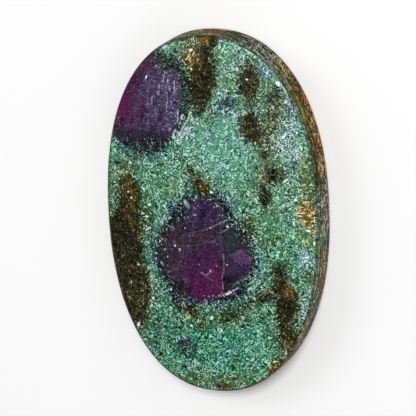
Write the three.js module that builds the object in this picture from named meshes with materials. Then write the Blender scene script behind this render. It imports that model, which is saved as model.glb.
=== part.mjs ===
// A polished oval cabochon of ruby in fuchsite, lying on its flat back.
//
// The stone is one piece: two purple corundum crystals grown in a green chromium mica.
// It is cut as a long oval with a flat back, an upright ground wall and a low dome.
// Millimetres, +Z up out of the dome, +Y along the length, origin at the middle of the back.

import * as THREE from "three";
import { mergeVertices } from "three/addons/utils/BufferGeometryUtils.js";

// Driving dimensions, in millimetres.
const LENGTH = 42; // along Y
const WIDTH = 25.7; // along X
const WALL_HEIGHT = 4.1; // from the back to the edge of the dome
const CROWN = 1.3; // rise of the dome above its edge

// How the cutter finished the edges.
const BACK_BEVEL = 0.3; // the small bevel ground round the back
const SHOULDER = 0.35; // the rounded edge where the wall meets the dome
const SHOULDER_RISE = 0.1; // how far the shoulder climbs above the wall's top

// The outline is a little fuller than an ellipse, and a hand-cut oval is never quite regular.
const FULLNESS = 2.236; // superellipse exponent: 2 is an ellipse
const HAND_CUT = 0.0043; // share by which three faint lobes swell the outline
const HAND_CUT_TURN = THREE.MathUtils.degToRad(59);

// How finely the surface is divided.
const AROUND = 96;
const ALONG_EACH_CURVE = 9;

const HALF_WIDTH = WIDTH / 2;
const HALF_LENGTH = LENGTH / 2;
const DOME_EDGE = HALF_WIDTH - SHOULDER;
const DOME_EDGE_HEIGHT = WALL_HEIGHT + SHOULDER_RISE;
const TOP = WALL_HEIGHT + CROWN;

// Half of the cross-section at the stone's waist: x is the distance from the centre, y the height.
function crossSection() {
  const outline = new THREE.Path();
  outline.moveTo(0, 0);
  outline.lineTo(HALF_WIDTH - BACK_BEVEL, 0);
  outline.lineTo(HALF_WIDTH, BACK_BEVEL);
  outline.lineTo(HALF_WIDTH, WALL_HEIGHT - SHOULDER);
  outline.quadraticCurveTo(HALF_WIDTH, WALL_HEIGHT, DOME_EDGE, DOME_EDGE_HEIGHT);
  // The dome leaves its edge at a gentle slope and arrives level at the crown.
  outline.bezierCurveTo(DOME_EDGE * 0.74, TOP - CROWN * 0.36, DOME_EDGE * 0.4, TOP, 0, TOP);
  return outline.getPoints(ALONG_EACH_CURVE);
}

// A signed power, which turns a circle's sine and cosine into a superellipse's.
function fuller(value) {
  return Math.sign(value) * Math.abs(value) ** (2 / FULLNESS);
}

// Moves a point of the round body to its place in the oval one.
// The bevel, shoulder and dome edge keep their width all round, and the dome gets a long spine.
function placeInOval(point) {
  const reach = Math.hypot(point.x, point.y);
  const turn = Math.atan2(point.y, point.x);
  const share = reach / HALF_WIDTH;
  const lengthways = reach + (HALF_LENGTH - HALF_WIDTH) * share * (2 - share);
  const lobes = 1 + HAND_CUT * (Math.cos(3 * turn - HAND_CUT_TURN) - lobeAtEnds(turn));
  point.x = reach * fuller(Math.cos(turn)) * lobes;
  point.y = lengthways * fuller(Math.sin(turn)) * lobes;
}

// What the lobes add at the four ends of the axes, so that they leave LENGTH and WIDTH as stated.
function lobeAtEnds(turn) {
  const along = Math.cos(turn) * Math.cos(HAND_CUT_TURN);
  const across = -Math.sin(turn) * Math.sin(HAND_CUT_TURN);
  return along + across;
}

function stoneBody() {
  const round = new THREE.LatheGeometry(crossSection(), AROUND);
  round.rotateX(Math.PI / 2);
  round.deleteAttribute("uv");
  round.deleteAttribute("normal");
  const body = mergeVertices(round, 1e-4);
  const position = body.getAttribute("position");
  const point = new THREE.Vector3();
  for (let i = 0; i < position.count; i += 1) {
    point.fromBufferAttribute(position, i);
    placeInOval(point);
    position.setXYZ(i, point.x, point.y, point.z);
  }
  body.computeVertexNormals();
  return body;
}

const polishedStone = new THREE.MeshStandardMaterial({
  color: new THREE.Color(0.3, 0.52, 0.42),
  roughness: 0.25,
  metalness: 0,
});

const cabochon = new THREE.Mesh(stoneBody(), polishedStone);
cabochon.name = "ruby_fuchsite_cabochon";

const stone = new THREE.Group();
stone.add(cabochon);

export default stone;
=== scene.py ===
# %% [markdown]
# # Ruby in fuchsite: a polished oval cabochon
#
# The object is one piece of rock, cut and polished by a lapidary into a long oval with a
# flat back, an upright ground wall and a low dome. Two purple corundum crystals sit in a
# felt of green chromium mica, with dark rims round the crystals and patches of
# rust-stained brown mica.
#
# The CAD model gives the cut shape and its size. This script makes the same shape again
# with a finer mesh, works out which mineral lies where, and gives each mineral its look.

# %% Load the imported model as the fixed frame
import math

import bpy
import numpy as np
from mathutils import Matrix, Vector


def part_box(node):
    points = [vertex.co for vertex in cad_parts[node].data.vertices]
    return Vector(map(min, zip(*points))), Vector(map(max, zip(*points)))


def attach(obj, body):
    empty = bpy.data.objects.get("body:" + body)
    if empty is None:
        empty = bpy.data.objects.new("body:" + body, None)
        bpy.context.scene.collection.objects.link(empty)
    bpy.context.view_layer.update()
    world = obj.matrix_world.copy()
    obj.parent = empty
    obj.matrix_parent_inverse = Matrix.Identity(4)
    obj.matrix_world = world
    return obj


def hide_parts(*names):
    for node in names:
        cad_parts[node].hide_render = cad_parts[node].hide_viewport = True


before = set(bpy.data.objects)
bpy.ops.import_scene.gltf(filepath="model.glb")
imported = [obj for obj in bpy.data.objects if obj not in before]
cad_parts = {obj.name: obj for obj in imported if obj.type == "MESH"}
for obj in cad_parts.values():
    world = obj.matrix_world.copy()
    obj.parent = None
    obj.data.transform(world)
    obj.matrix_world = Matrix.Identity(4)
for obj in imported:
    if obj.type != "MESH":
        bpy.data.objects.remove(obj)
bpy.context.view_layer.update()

MM = 0.001
NODE = "ruby_fuchsite_cabochon"
stone_low, stone_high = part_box(NODE)
LENGTH = stone_high.y - stone_low.y
WIDTH = stone_high.x - stone_low.x
TOP = stone_high.z
print(f"stone {WIDTH / MM:.1f} x {LENGTH / MM:.1f} x {TOP / MM:.1f} mm")

# %% [markdown]
# ## The camera
#
# The stone lies on its back, so the camera looks down on it. It leans towards the stone's
# upper right, which brings the wall into view there. A long lens from half a metre away
# keeps the oval's shape, as in close-up product work.

# %% Camera
VIEW_TILT = math.radians(25.0)  # between the line of sight and the stone's upright
VIEW_TURN = math.radians(35.8)  # which way the camera leans, from +X towards +Y
VIEW_ROLL = math.radians(2.1)  # the camera's own turn about its line of sight
VIEW_DISTANCE = 0.45
PIXELS_PER_MM = 8.69
FRAME_PIXELS = 416
SENSOR = 36.0
# Where the middle of the picture falls beside the origin, across and up the picture.
AIM_ACROSS = -1.88 * MM
AIM_UP = -0.15 * MM


def make_camera():
    outwards = math.sin(VIEW_TILT)
    away = Vector(
        (outwards * math.cos(VIEW_TURN), outwards * math.sin(VIEW_TURN), math.cos(VIEW_TILT))
    )
    right = Vector((0, 1, 0)).cross(away).normalized()
    up = away.cross(right)
    roll = Matrix.Rotation(-VIEW_ROLL, 3, away)
    right, up = roll @ right, roll @ up
    data = bpy.data.cameras.new("camera")
    data.sensor_width = SENSOR
    data.lens = PIXELS_PER_MM / MM * SENSOR / FRAME_PIXELS * VIEW_DISTANCE
    camera = bpy.data.objects.new("camera", data)
    bpy.context.scene.collection.objects.link(camera)
    aim = right * AIM_ACROSS + up * AIM_UP
    place = Matrix((right, up, away)).transposed().to_4x4()
    place.translation = aim + away * VIEW_DISTANCE
    camera.matrix_world = place
    bpy.context.scene.camera = camera
    return camera


camera = make_camera()
print(f"camera lens {camera.data.lens:.0f} mm")

# %% [markdown]
# ## Formulas that lay down nodes
#
# Node trees make the stone's shape, its relief and its colours, and most of what they do is
# arithmetic. Wiring Math nodes one by one is hard to read, so `Field` lets us write the
# formulas as ordinary Python: each operator adds one Math node. The helpers after it work
# in Geometry Nodes and in materials alike, because both have the same kinds of sockets.


# %% A number that changes from point to point
class Field:
    """One output socket of a node tree, ready for arithmetic."""

    def __init__(self, tree, socket):
        self.tree = tree
        self.socket = socket

    def math(self, operation, *others, clamp=False):
        node = self.tree.nodes.new("ShaderNodeMath")
        node.operation = operation
        node.use_clamp = clamp
        for i, value in enumerate((self, *others)):
            connect(self.tree, value, node.inputs[i])
        return Field(self.tree, node.outputs[0])

    def __add__(self, other):
        return self.math("ADD", other)

    __radd__ = __add__

    def __sub__(self, other):
        return self.math("SUBTRACT", other)

    def __rsub__(self, other):
        return self * -1.0 + other

    def __mul__(self, other):
        return self.math("MULTIPLY", other)

    __rmul__ = __mul__

    def __truediv__(self, other):
        return self.math("DIVIDE", other)

    def __rtruediv__(self, other):
        return self.math("POWER", -1.0) * other

    def __pow__(self, other):
        return self.math("POWER", other)

    def clamp(self):
        return self.math("ADD", 0.0, clamp=True)

    def pick(self, yes, no):
        """yes where this field is 1, no where it is 0."""
        return no + (yes - no) * self


# %% Helpers that add nodes
def connect(tree, value, socket):
    """Feeds a socket from a Field or from another socket, or gives it a plain value."""
    if isinstance(value, Field):
        value = value.socket
    if isinstance(value, bpy.types.NodeSocket):
        tree.links.new(value, socket)
    else:
        socket.default_value = value


def add_node(tree, kind, inputs=None, **settings):
    """Adds a node, sets it up, and feeds those of its inputs that are listed."""
    node = tree.nodes.new(kind)
    for name, value in settings.items():
        setattr(node, name, value)
    for name, value in (inputs or {}).items():
        connect(tree, value, node.inputs[name])
    return node


def vector_math(tree, operation, first, second=None):
    """Arithmetic on whole vectors. A dot product or a length comes back as a Field."""
    node = add_node(tree, "ShaderNodeVectorMath", {0: first}, operation=operation)
    if second is not None:
        connect(tree, second, node.inputs["Scale" if operation == "SCALE" else 1])
    if operation in ("DOT_PRODUCT", "LENGTH"):
        return Field(tree, node.outputs["Value"])
    return node.outputs[0]


def parts_of(tree, vector, kind="ShaderNodeSeparateXYZ"):
    """The three numbers of a vector, or of a colour."""
    node = add_node(tree, kind, {0: vector})
    return [Field(tree, socket) for socket in node.outputs]


def noise(tree, place, scale, detail=2.0, rough=0.5):
    """Smooth noise: one number near a half, and three of them as a colour."""
    sizes = {"Scale": scale, "Detail": detail, "Roughness": rough}
    node = add_node(tree, "ShaderNodeTexNoise", {"Vector": place} | sizes)
    return Field(tree, node.outputs[0]), node.outputs[1]


# %% [markdown]
# ## The cut shape, by Geometry Nodes
#
# A cabochon's shape follows a rule: one cross-section carried round an oval. A Geometry
# Nodes tree can state that rule with named inputs. It starts from a box whose faces are
# fine grids, and moves each point to where the rule says. The box's top becomes the dome,
# its sides the wall, and its bottom the back. Unlike a turned shape, the grid has no
# crowded middle, so every part of the face is equally fine.

# %% The finishes, named now and painted later
FINISH_NAMES = ("polished_face", "rounded_shoulder", "ground_wall", "lapped_back")
finishes = {name: bpy.data.materials.new(name) for name in FINISH_NAMES}
print("finishes:", ", ".join(finishes))

# %% Sizes of the cut
SHAPE_SIZES = {
    "Length": LENGTH,
    "Width": WIDTH,
    "Top": TOP,
    "Crown": 1.3 * MM,
    "Back Bevel": 0.3 * MM,
    "Shoulder": 0.35 * MM,
    "Shoulder Rise": 0.1 * MM,
    "Fullness": 2.236,
    "Lobes": 0.0043,
    "Lobe Turn": math.radians(59),
}
# The dome's section is a cubic curve. Its two inner handles are placed by these shares.
OUTER_HANDLE_REACH = 0.74
OUTER_HANDLE_DROP = 0.36
INNER_HANDLE_REACH = 0.4
GRID_ACROSS = 160
GRID_ALONG = 260
GRID_UP = 16
BEVEL_ENDS = 2 / GRID_UP  # share of the box's sides that the back bevel takes
WALL_ENDS = 11 / GRID_UP  # and where the wall gives way to the shoulder
ALMOST_ONE = 0.9999
print(f"grid {GRID_ACROSS} x {GRID_ALONG} x {GRID_UP}")


# %% Helpers for Geometry Nodes trees
def new_geometry_tree(name, sizes):
    """A tree with a geometry and some sizes going in. The sizes come back as Fields."""
    tree = bpy.data.node_groups.new(name, "GeometryNodeTree")
    for way in ("INPUT", "OUTPUT"):
        tree.interface.new_socket("Geometry", in_out=way, socket_type="NodeSocketGeometry")
    for label in sizes:
        tree.interface.new_socket(label, in_out="INPUT", socket_type="NodeSocketFloat")
    start = tree.nodes.new("NodeGroupInput").outputs
    return tree, start["Geometry"], {label: Field(tree, start[label]) for label in sizes}


def finish_tree(tree, geometry, coats):
    """Ends a tree: instances made real, then each finish set on its share of the faces."""
    last = add_node(tree, "GeometryNodeRealizeInstances", {0: geometry}).outputs[0]
    for share, finish in coats:
        feeds = {"Geometry": last, "Selection": share, "Material": finishes[finish]}
        last = add_node(tree, "GeometryNodeSetMaterial", feeds).outputs[0]
    add_node(tree, "NodeGroupOutput", {0: last})


def run_tree(tree, values, name, source=None):
    """Evaluates a tree on an object and returns the result as a plain mesh object."""
    mesh = source.data if source else bpy.data.meshes.new(name + "_carrier")
    carrier = bpy.data.objects.new(name + "_carrier", mesh)
    bpy.context.scene.collection.objects.link(carrier)
    modifier = carrier.modifiers.new("tree", "NODES")
    modifier.node_group = tree
    # A modifier's inputs are set by each socket's identifier.
    for item in tree.interface.items_tree:
        if item.in_out == "INPUT" and item.name in values:
            modifier[item.identifier] = values[item.name]
    graph = bpy.context.evaluated_depsgraph_get()
    graph.update()
    result = bpy.data.meshes.new_from_object(carrier.evaluated_get(graph), depsgraph=graph)
    bpy.data.objects.remove(carrier)
    made = bpy.data.objects.new(name, result)
    bpy.context.scene.collection.objects.link(made)
    print(f"{tree.name}: {len(tree.nodes)} nodes, {len(result.polygons)} faces")
    return made


# %% The tree of the cut shape
def direction_round_the_oval(u, v):
    """The turn angle of a grid point, spread evenly along the sides of each square ring."""
    across, along = u.math("ABSOLUTE"), v.math("ABSOLUTE")
    longer = across.math("MAXIMUM", along) + 1e-9
    eighth = math.pi / 4
    sideways = v / longer * u.math("SIGN") * eighth + u.math("LESS_THAN", 0.0) * math.pi
    upward = v.math("LESS_THAN", 0.0) * math.pi - u / longer * v.math("SIGN") * eighth
    return across.math("LESS_THAN", along).pick(upward + math.pi / 2, sideways)


def dome_section(size, q, half_width, wall):
    """Reach and height of the dome, from its edge, q = 1, to the crown, q = 0."""
    p = 1 - q
    edge_height = wall + size["Shoulder Rise"]
    outer, inner = q * q * p * 3, q * p * p * 3
    shares = q * q * q + outer * OUTER_HANDLE_REACH + inner * INNER_HANDLE_REACH
    reach = (half_width - size["Shoulder"]) * shares
    outer_height = size["Top"] - size["Crown"] * OUTER_HANDLE_DROP
    height = edge_height * (q * q * q) + outer_height * outer + size["Top"] * (inner + p * p * p)
    return reach, height


def side_section(size, up, half_width, wall):
    """Reach and height of the side: bevel, wall, then a rounded shoulder."""
    bevel, shoulder = size["Back Bevel"], size["Shoulder"]
    on_bevel = (up / BEVEL_ENDS).clamp()
    on_wall = ((up - BEVEL_ENDS) / (WALL_ENDS - BEVEL_ENDS)).clamp()
    on_shoulder = ((up - WALL_ENDS) / (1 - WALL_ENDS)).clamp()
    reach = half_width - bevel * (1 - on_bevel) - shoulder * on_shoulder**2.0
    height = (
        bevel * on_bevel
        + (wall - shoulder - bevel) * on_wall
        + shoulder * (on_shoulder * (1 - on_shoulder) * 2)
        + (shoulder + size["Shoulder Rise"]) * on_shoulder**2.0
    )
    return reach, height


def fuller(wave, power):
    """A sine or cosine swollen towards the corners, which turns an ellipse into an oval."""
    return wave.math("SIGN") * wave.math("ABSOLUTE") ** power


def cut_shape_tree():
    tree, _, size = new_geometry_tree("Oval cabochon", SHAPE_SIZES)
    points = {"Vertices X": GRID_ACROSS, "Vertices Y": GRID_ALONG, "Vertices Z": GRID_UP}
    points = {label: count + 1 for label, count in points.items()}
    box = add_node(tree, "GeometryNodeMeshCube", {"Size": (2, 2, 2)} | points)
    u, v, w = parts_of(tree, tree.nodes.new("GeometryNodeInputPosition").outputs[0])
    half_width = size["Width"] * 0.5
    half_length = size["Length"] * 0.5
    wall = size["Top"] - size["Crown"]
    q = u.math("ABSOLUTE").math("MAXIMUM", v.math("ABSOLUTE"))
    dome_reach, dome_height = dome_section(size, q, half_width, wall)
    side_reach, side_height = side_section(size, w * 0.5 + 0.5, half_width, wall)
    back_reach = (half_width - size["Back Bevel"]) * q
    is_top = w.math("GREATER_THAN", ALMOST_ONE)
    is_back = w.math("LESS_THAN", -ALMOST_ONE)
    reach = is_top.pick(dome_reach, is_back.pick(back_reach, side_reach))
    height = is_top.pick(dome_height, is_back.pick(back_reach * 0.0, side_height))

    # Round the oval: the short reach is stretched lengthways, least at the edge.
    turn = direction_round_the_oval(u, v)
    power = 2.0 / size["Fullness"]
    cosine, sine = turn.math("COSINE"), turn.math("SINE")
    share = reach / half_width
    lengthways = reach + (half_length - half_width) * share * (2 - share)
    lobe_turn = size["Lobe Turn"]
    lobe = (turn * 3 - lobe_turn).math("COSINE")
    lobe_at_ends = cosine * lobe_turn.math("COSINE") - sine * lobe_turn.math("SINE")
    lobes = 1 + size["Lobes"] * (lobe - lobe_at_ends)
    x = reach * fuller(cosine, power) * lobes
    y = lengthways * fuller(sine, power) * lobes
    place = add_node(tree, "ShaderNodeCombineXYZ", {0: x, 1: y, 2: height}).outputs[0]

    # How far in from the wall each point lies, in millimetres, is kept for the materials.
    feeds = {"Geometry": box.outputs["Mesh"], "Name": "inset", "Value": (half_width - reach) / MM}
    noted = add_node(tree, "GeometryNodeStoreNamedAttribute", feeds).outputs["Geometry"]
    moved = add_node(tree, "GeometryNodeSetPosition", {"Geometry": noted, "Position": place})
    smooth = add_node(tree, "GeometryNodeSetShadeSmooth", {"Geometry": moved.outputs[0]})
    finish_tree(tree, smooth.outputs[0], [(True, "polished_face")])
    return tree


stone = run_tree(cut_shape_tree(), SHAPE_SIZES, "polished_stone")

# %% [markdown]
# ## Which mineral lies where
#
# The pattern was fixed when the rock formed, and the cut only shows a slice of it. So we
# lay it out the way a geologist would draw a map: an outline for each crystal, each sharp
# zone inside a crystal and each large stain, and a soft oval for each small patch. All of
# it is in millimetres on the face, with x across the stone and y along it.
#
# The map is then carried down into the stone with a slight lean, so that the wall and the
# back show the same crystals and stains cut at a lower level. Each point of the mesh
# stores what it finds there as attributes, which the materials read.

# %% Outlines of the crystals and of the zones inside them
UPPER_RUBY = [
    (-7.2, 18.5), (-6.2, 18.1), (-5.5, 17.5), (-5.0, 16.8), (-4.2, 16.9), (-3.4, 16.9),
    (-3.0, 15.8), (-2.95, 14.0), (-3.0, 12.4), (-3.3, 11.0), (-3.9, 9.8), (-4.3, 8.9),
    (-5.3, 8.6), (-6.5, 8.7), (-7.8, 8.4), (-9.4, 8.1), (-10.8, 8.1), (-11.9, 9.0),
    (-13.0, 11.5), (-12.3, 15.2), (-9.4, 18.6),
]
UPPER_RIM = [
    (-13.6, 9.2), (-11.8, 8.7), (-11.0, 7.9), (-9.8, 7.2), (-8.6, 6.8), (-7.0, 6.8),
    (-5.8, 7.1), (-4.9, 7.8), (-4.1, 8.8), (-3.3, 9.9), (-2.6, 10.8), (-2.1, 11.6),
    (-1.9, 12.6), (-1.8, 14.0), (-1.8, 15.6), (-2.2, 17.0), (-3.0, 17.9), (-4.0, 18.4),
    (-5.2, 18.9), (-6.6, 19.3), (-8.0, 19.6), (-13.0, 16.0),
]
LOWER_RUBY = [
    (-2.3, 1.2), (-1.5, 2.0), (-0.4, 2.2), (0.8, 2.0), (1.5, 1.4), (1.8, 0.5), (2.2, -0.3),
    (3.2, -1.0), (4.2, -2.2), (4.9, -3.5), (5.2, -4.8), (5.0, -5.9), (4.2, -6.9),
    (3.4, -7.5), (2.6, -8.1), (1.8, -8.8), (1.0, -9.4), (0.0, -9.9), (-1.6, -10.1),
    (-2.8, -9.6), (-3.9, -8.9), (-4.8, -7.9), (-5.5, -6.8), (-6.1, -5.6), (-6.2, -4.4),
    (-5.8, -3.2), (-5.2, -2.1), (-4.4, -1.2), (-3.5, -0.7), (-2.7, 0.2),
]
LOWER_RIM = [
    (-3.7, 2.1), (-2.8, 2.7), (-1.6, 3.0), (0.2, 3.1), (1.5, 2.9), (2.3, 2.3), (2.9, 1.3),
    (3.2, 0.4), (3.9, -0.4), (4.7, -1.4), (5.3, -2.6), (5.7, -3.8), (5.8, -5.0),
    (5.5, -6.3), (4.7, -7.5), (4.3, -8.6), (3.4, -9.5), (2.0, -10.1), (0.4, -10.3),
    (-1.4, -10.6), (-3.2, -10.9), (-4.6, -10.6), (-5.2, -9.7), (-5.6, -8.5), (-6.3, -7.3),
    (-6.9, -6.0), (-7.2, -4.8), (-7.0, -3.3), (-6.3, -2.0), (-5.6, -0.8), (-5.1, 0.1),
    (-4.4, 1.2),
]
MAGENTA_FACET = [
    (-0.7, -3.1), (1.6, -3.2), (1.65, -4.3), (1.55, -6.5), (1.5, -9.2), (0.0, -9.9),
    (-1.7, -10.1), (-2.8, -9.0), (-2.6, -7.9), (-3.4, -6.9), (-3.3, -5.1), (-2.2, -4.0),
]
DARK_BLOCK = [
    (1.55, -1.4), (3.0, -0.8), (4.6, -2.2), (5.6, -4.2), (5.4, -6.2), (4.0, -7.2),
    (2.7, -8.2), (1.5, -9.2), (1.5, -7.0), (1.65, -4.2),
]
WEDGE = [(2.2, -4.3), (3.8, -3.35), (4.9, -4.3), (5.05, -5.3), (3.5, -5.15)]
UNDER_WEDGE = [
    (2.0, -4.6), (3.5, -5.2), (5.0, -5.5), (4.5, -6.5), (3.3, -7.0), (2.0, -6.7),
]
SHARP_ZONES = {
    "facet": MAGENTA_FACET,
    "block": DARK_BLOCK,
    "wedge": WEDGE,
    "under_wedge": UNDER_WEDGE,
}
print(f"zones with sharp edges: {', '.join(SHARP_ZONES)}")

# %% Outlines of the large iron stains
STAINS = [
    [
        (-0.9, 21.4), (1.2, 21.4), (1.2, 19.6), (1.05, 18.0), (1.3, 16.4), (1.2, 15.2),
        (0.8, 14.2), (0.3, 13.2), (-0.1, 12.4), (-0.6, 12.0), (-1.2, 12.6), (-1.8, 13.8),
        (-2.0, 15.4), (-2.0, 16.6), (-1.6, 17.8), (-1.2, 19.0), (-0.9, 20.0),
    ],
    [
        (-10.8, 4.2), (-9.6, 4.4), (-8.6, 3.2), (-8.3, 1.6), (-8.5, 0.2), (-8.2, -1.4),
        (-8.6, -3.0), (-8.5, -4.8), (-8.0, -6.4), (-7.7, -8.4), (-7.8, -10.6), (-8.3, -12.4),
        (-9.3, -13.5), (-10.9, -13.8), (-12.6, -10.0), (-13.8, -5.0), (-13.6, -1.6),
        (-12.2, -0.5), (-11.4, 0.9), (-11.2, 2.8),
    ],
    [
        (5.3, 18.2), (6.0, 17.5), (6.5, 16.4), (6.4, 15.2), (5.9, 14.1), (5.4, 13.2),
        (4.8, 14.0), (4.1, 14.9), (3.9, 15.8), (4.2, 16.9), (4.6, 17.7),
    ],
    [
        (5.3, 12.7), (6.0, 12.1), (6.3, 11.3), (6.7, 10.5), (6.9, 9.7), (6.2, 9.0),
        (5.2, 9.2), (4.4, 9.9), (4.1, 10.8), (4.3, 11.6), (4.8, 12.2),
    ],
    [
        (7.6, -5.4), (8.8, -5.3), (9.0, -7.2), (9.7, -7.6), (10.2, -8.6), (10.2, -10.2),
        (9.8, -11.4), (9.2, -12.2), (8.4, -12.4), (7.8, -11.8), (7.6, -11.0), (7.5, -9.0),
        (7.5, -7.4),
    ],
    [(-1.8, 5.8), (-1.3, 4.9), (-0.6, 4.6), (0.2, 3.8), (0.3, 2.9), (-1.5, 2.9), (-1.9, 4.2)],
    [(6.3, 3.9), (7.1, 4.0), (7.4, 2.8), (7.0, 1.6), (6.3, 2.0)],
    [(7.2, 5.4), (8.0, 5.7), (8.5, 5.2), (8.1, 4.6), (7.3, 4.6)],
    [
        (-4.9, -10.2), (-3.4, -10.4), (-2.2, -10.7), (-1.8, -11.5), (-2.4, -12.1),
        (-3.4, -11.5), (-4.7, -11.0),
    ],
]
print(f"{len(STAINS)} large stains")

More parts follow.
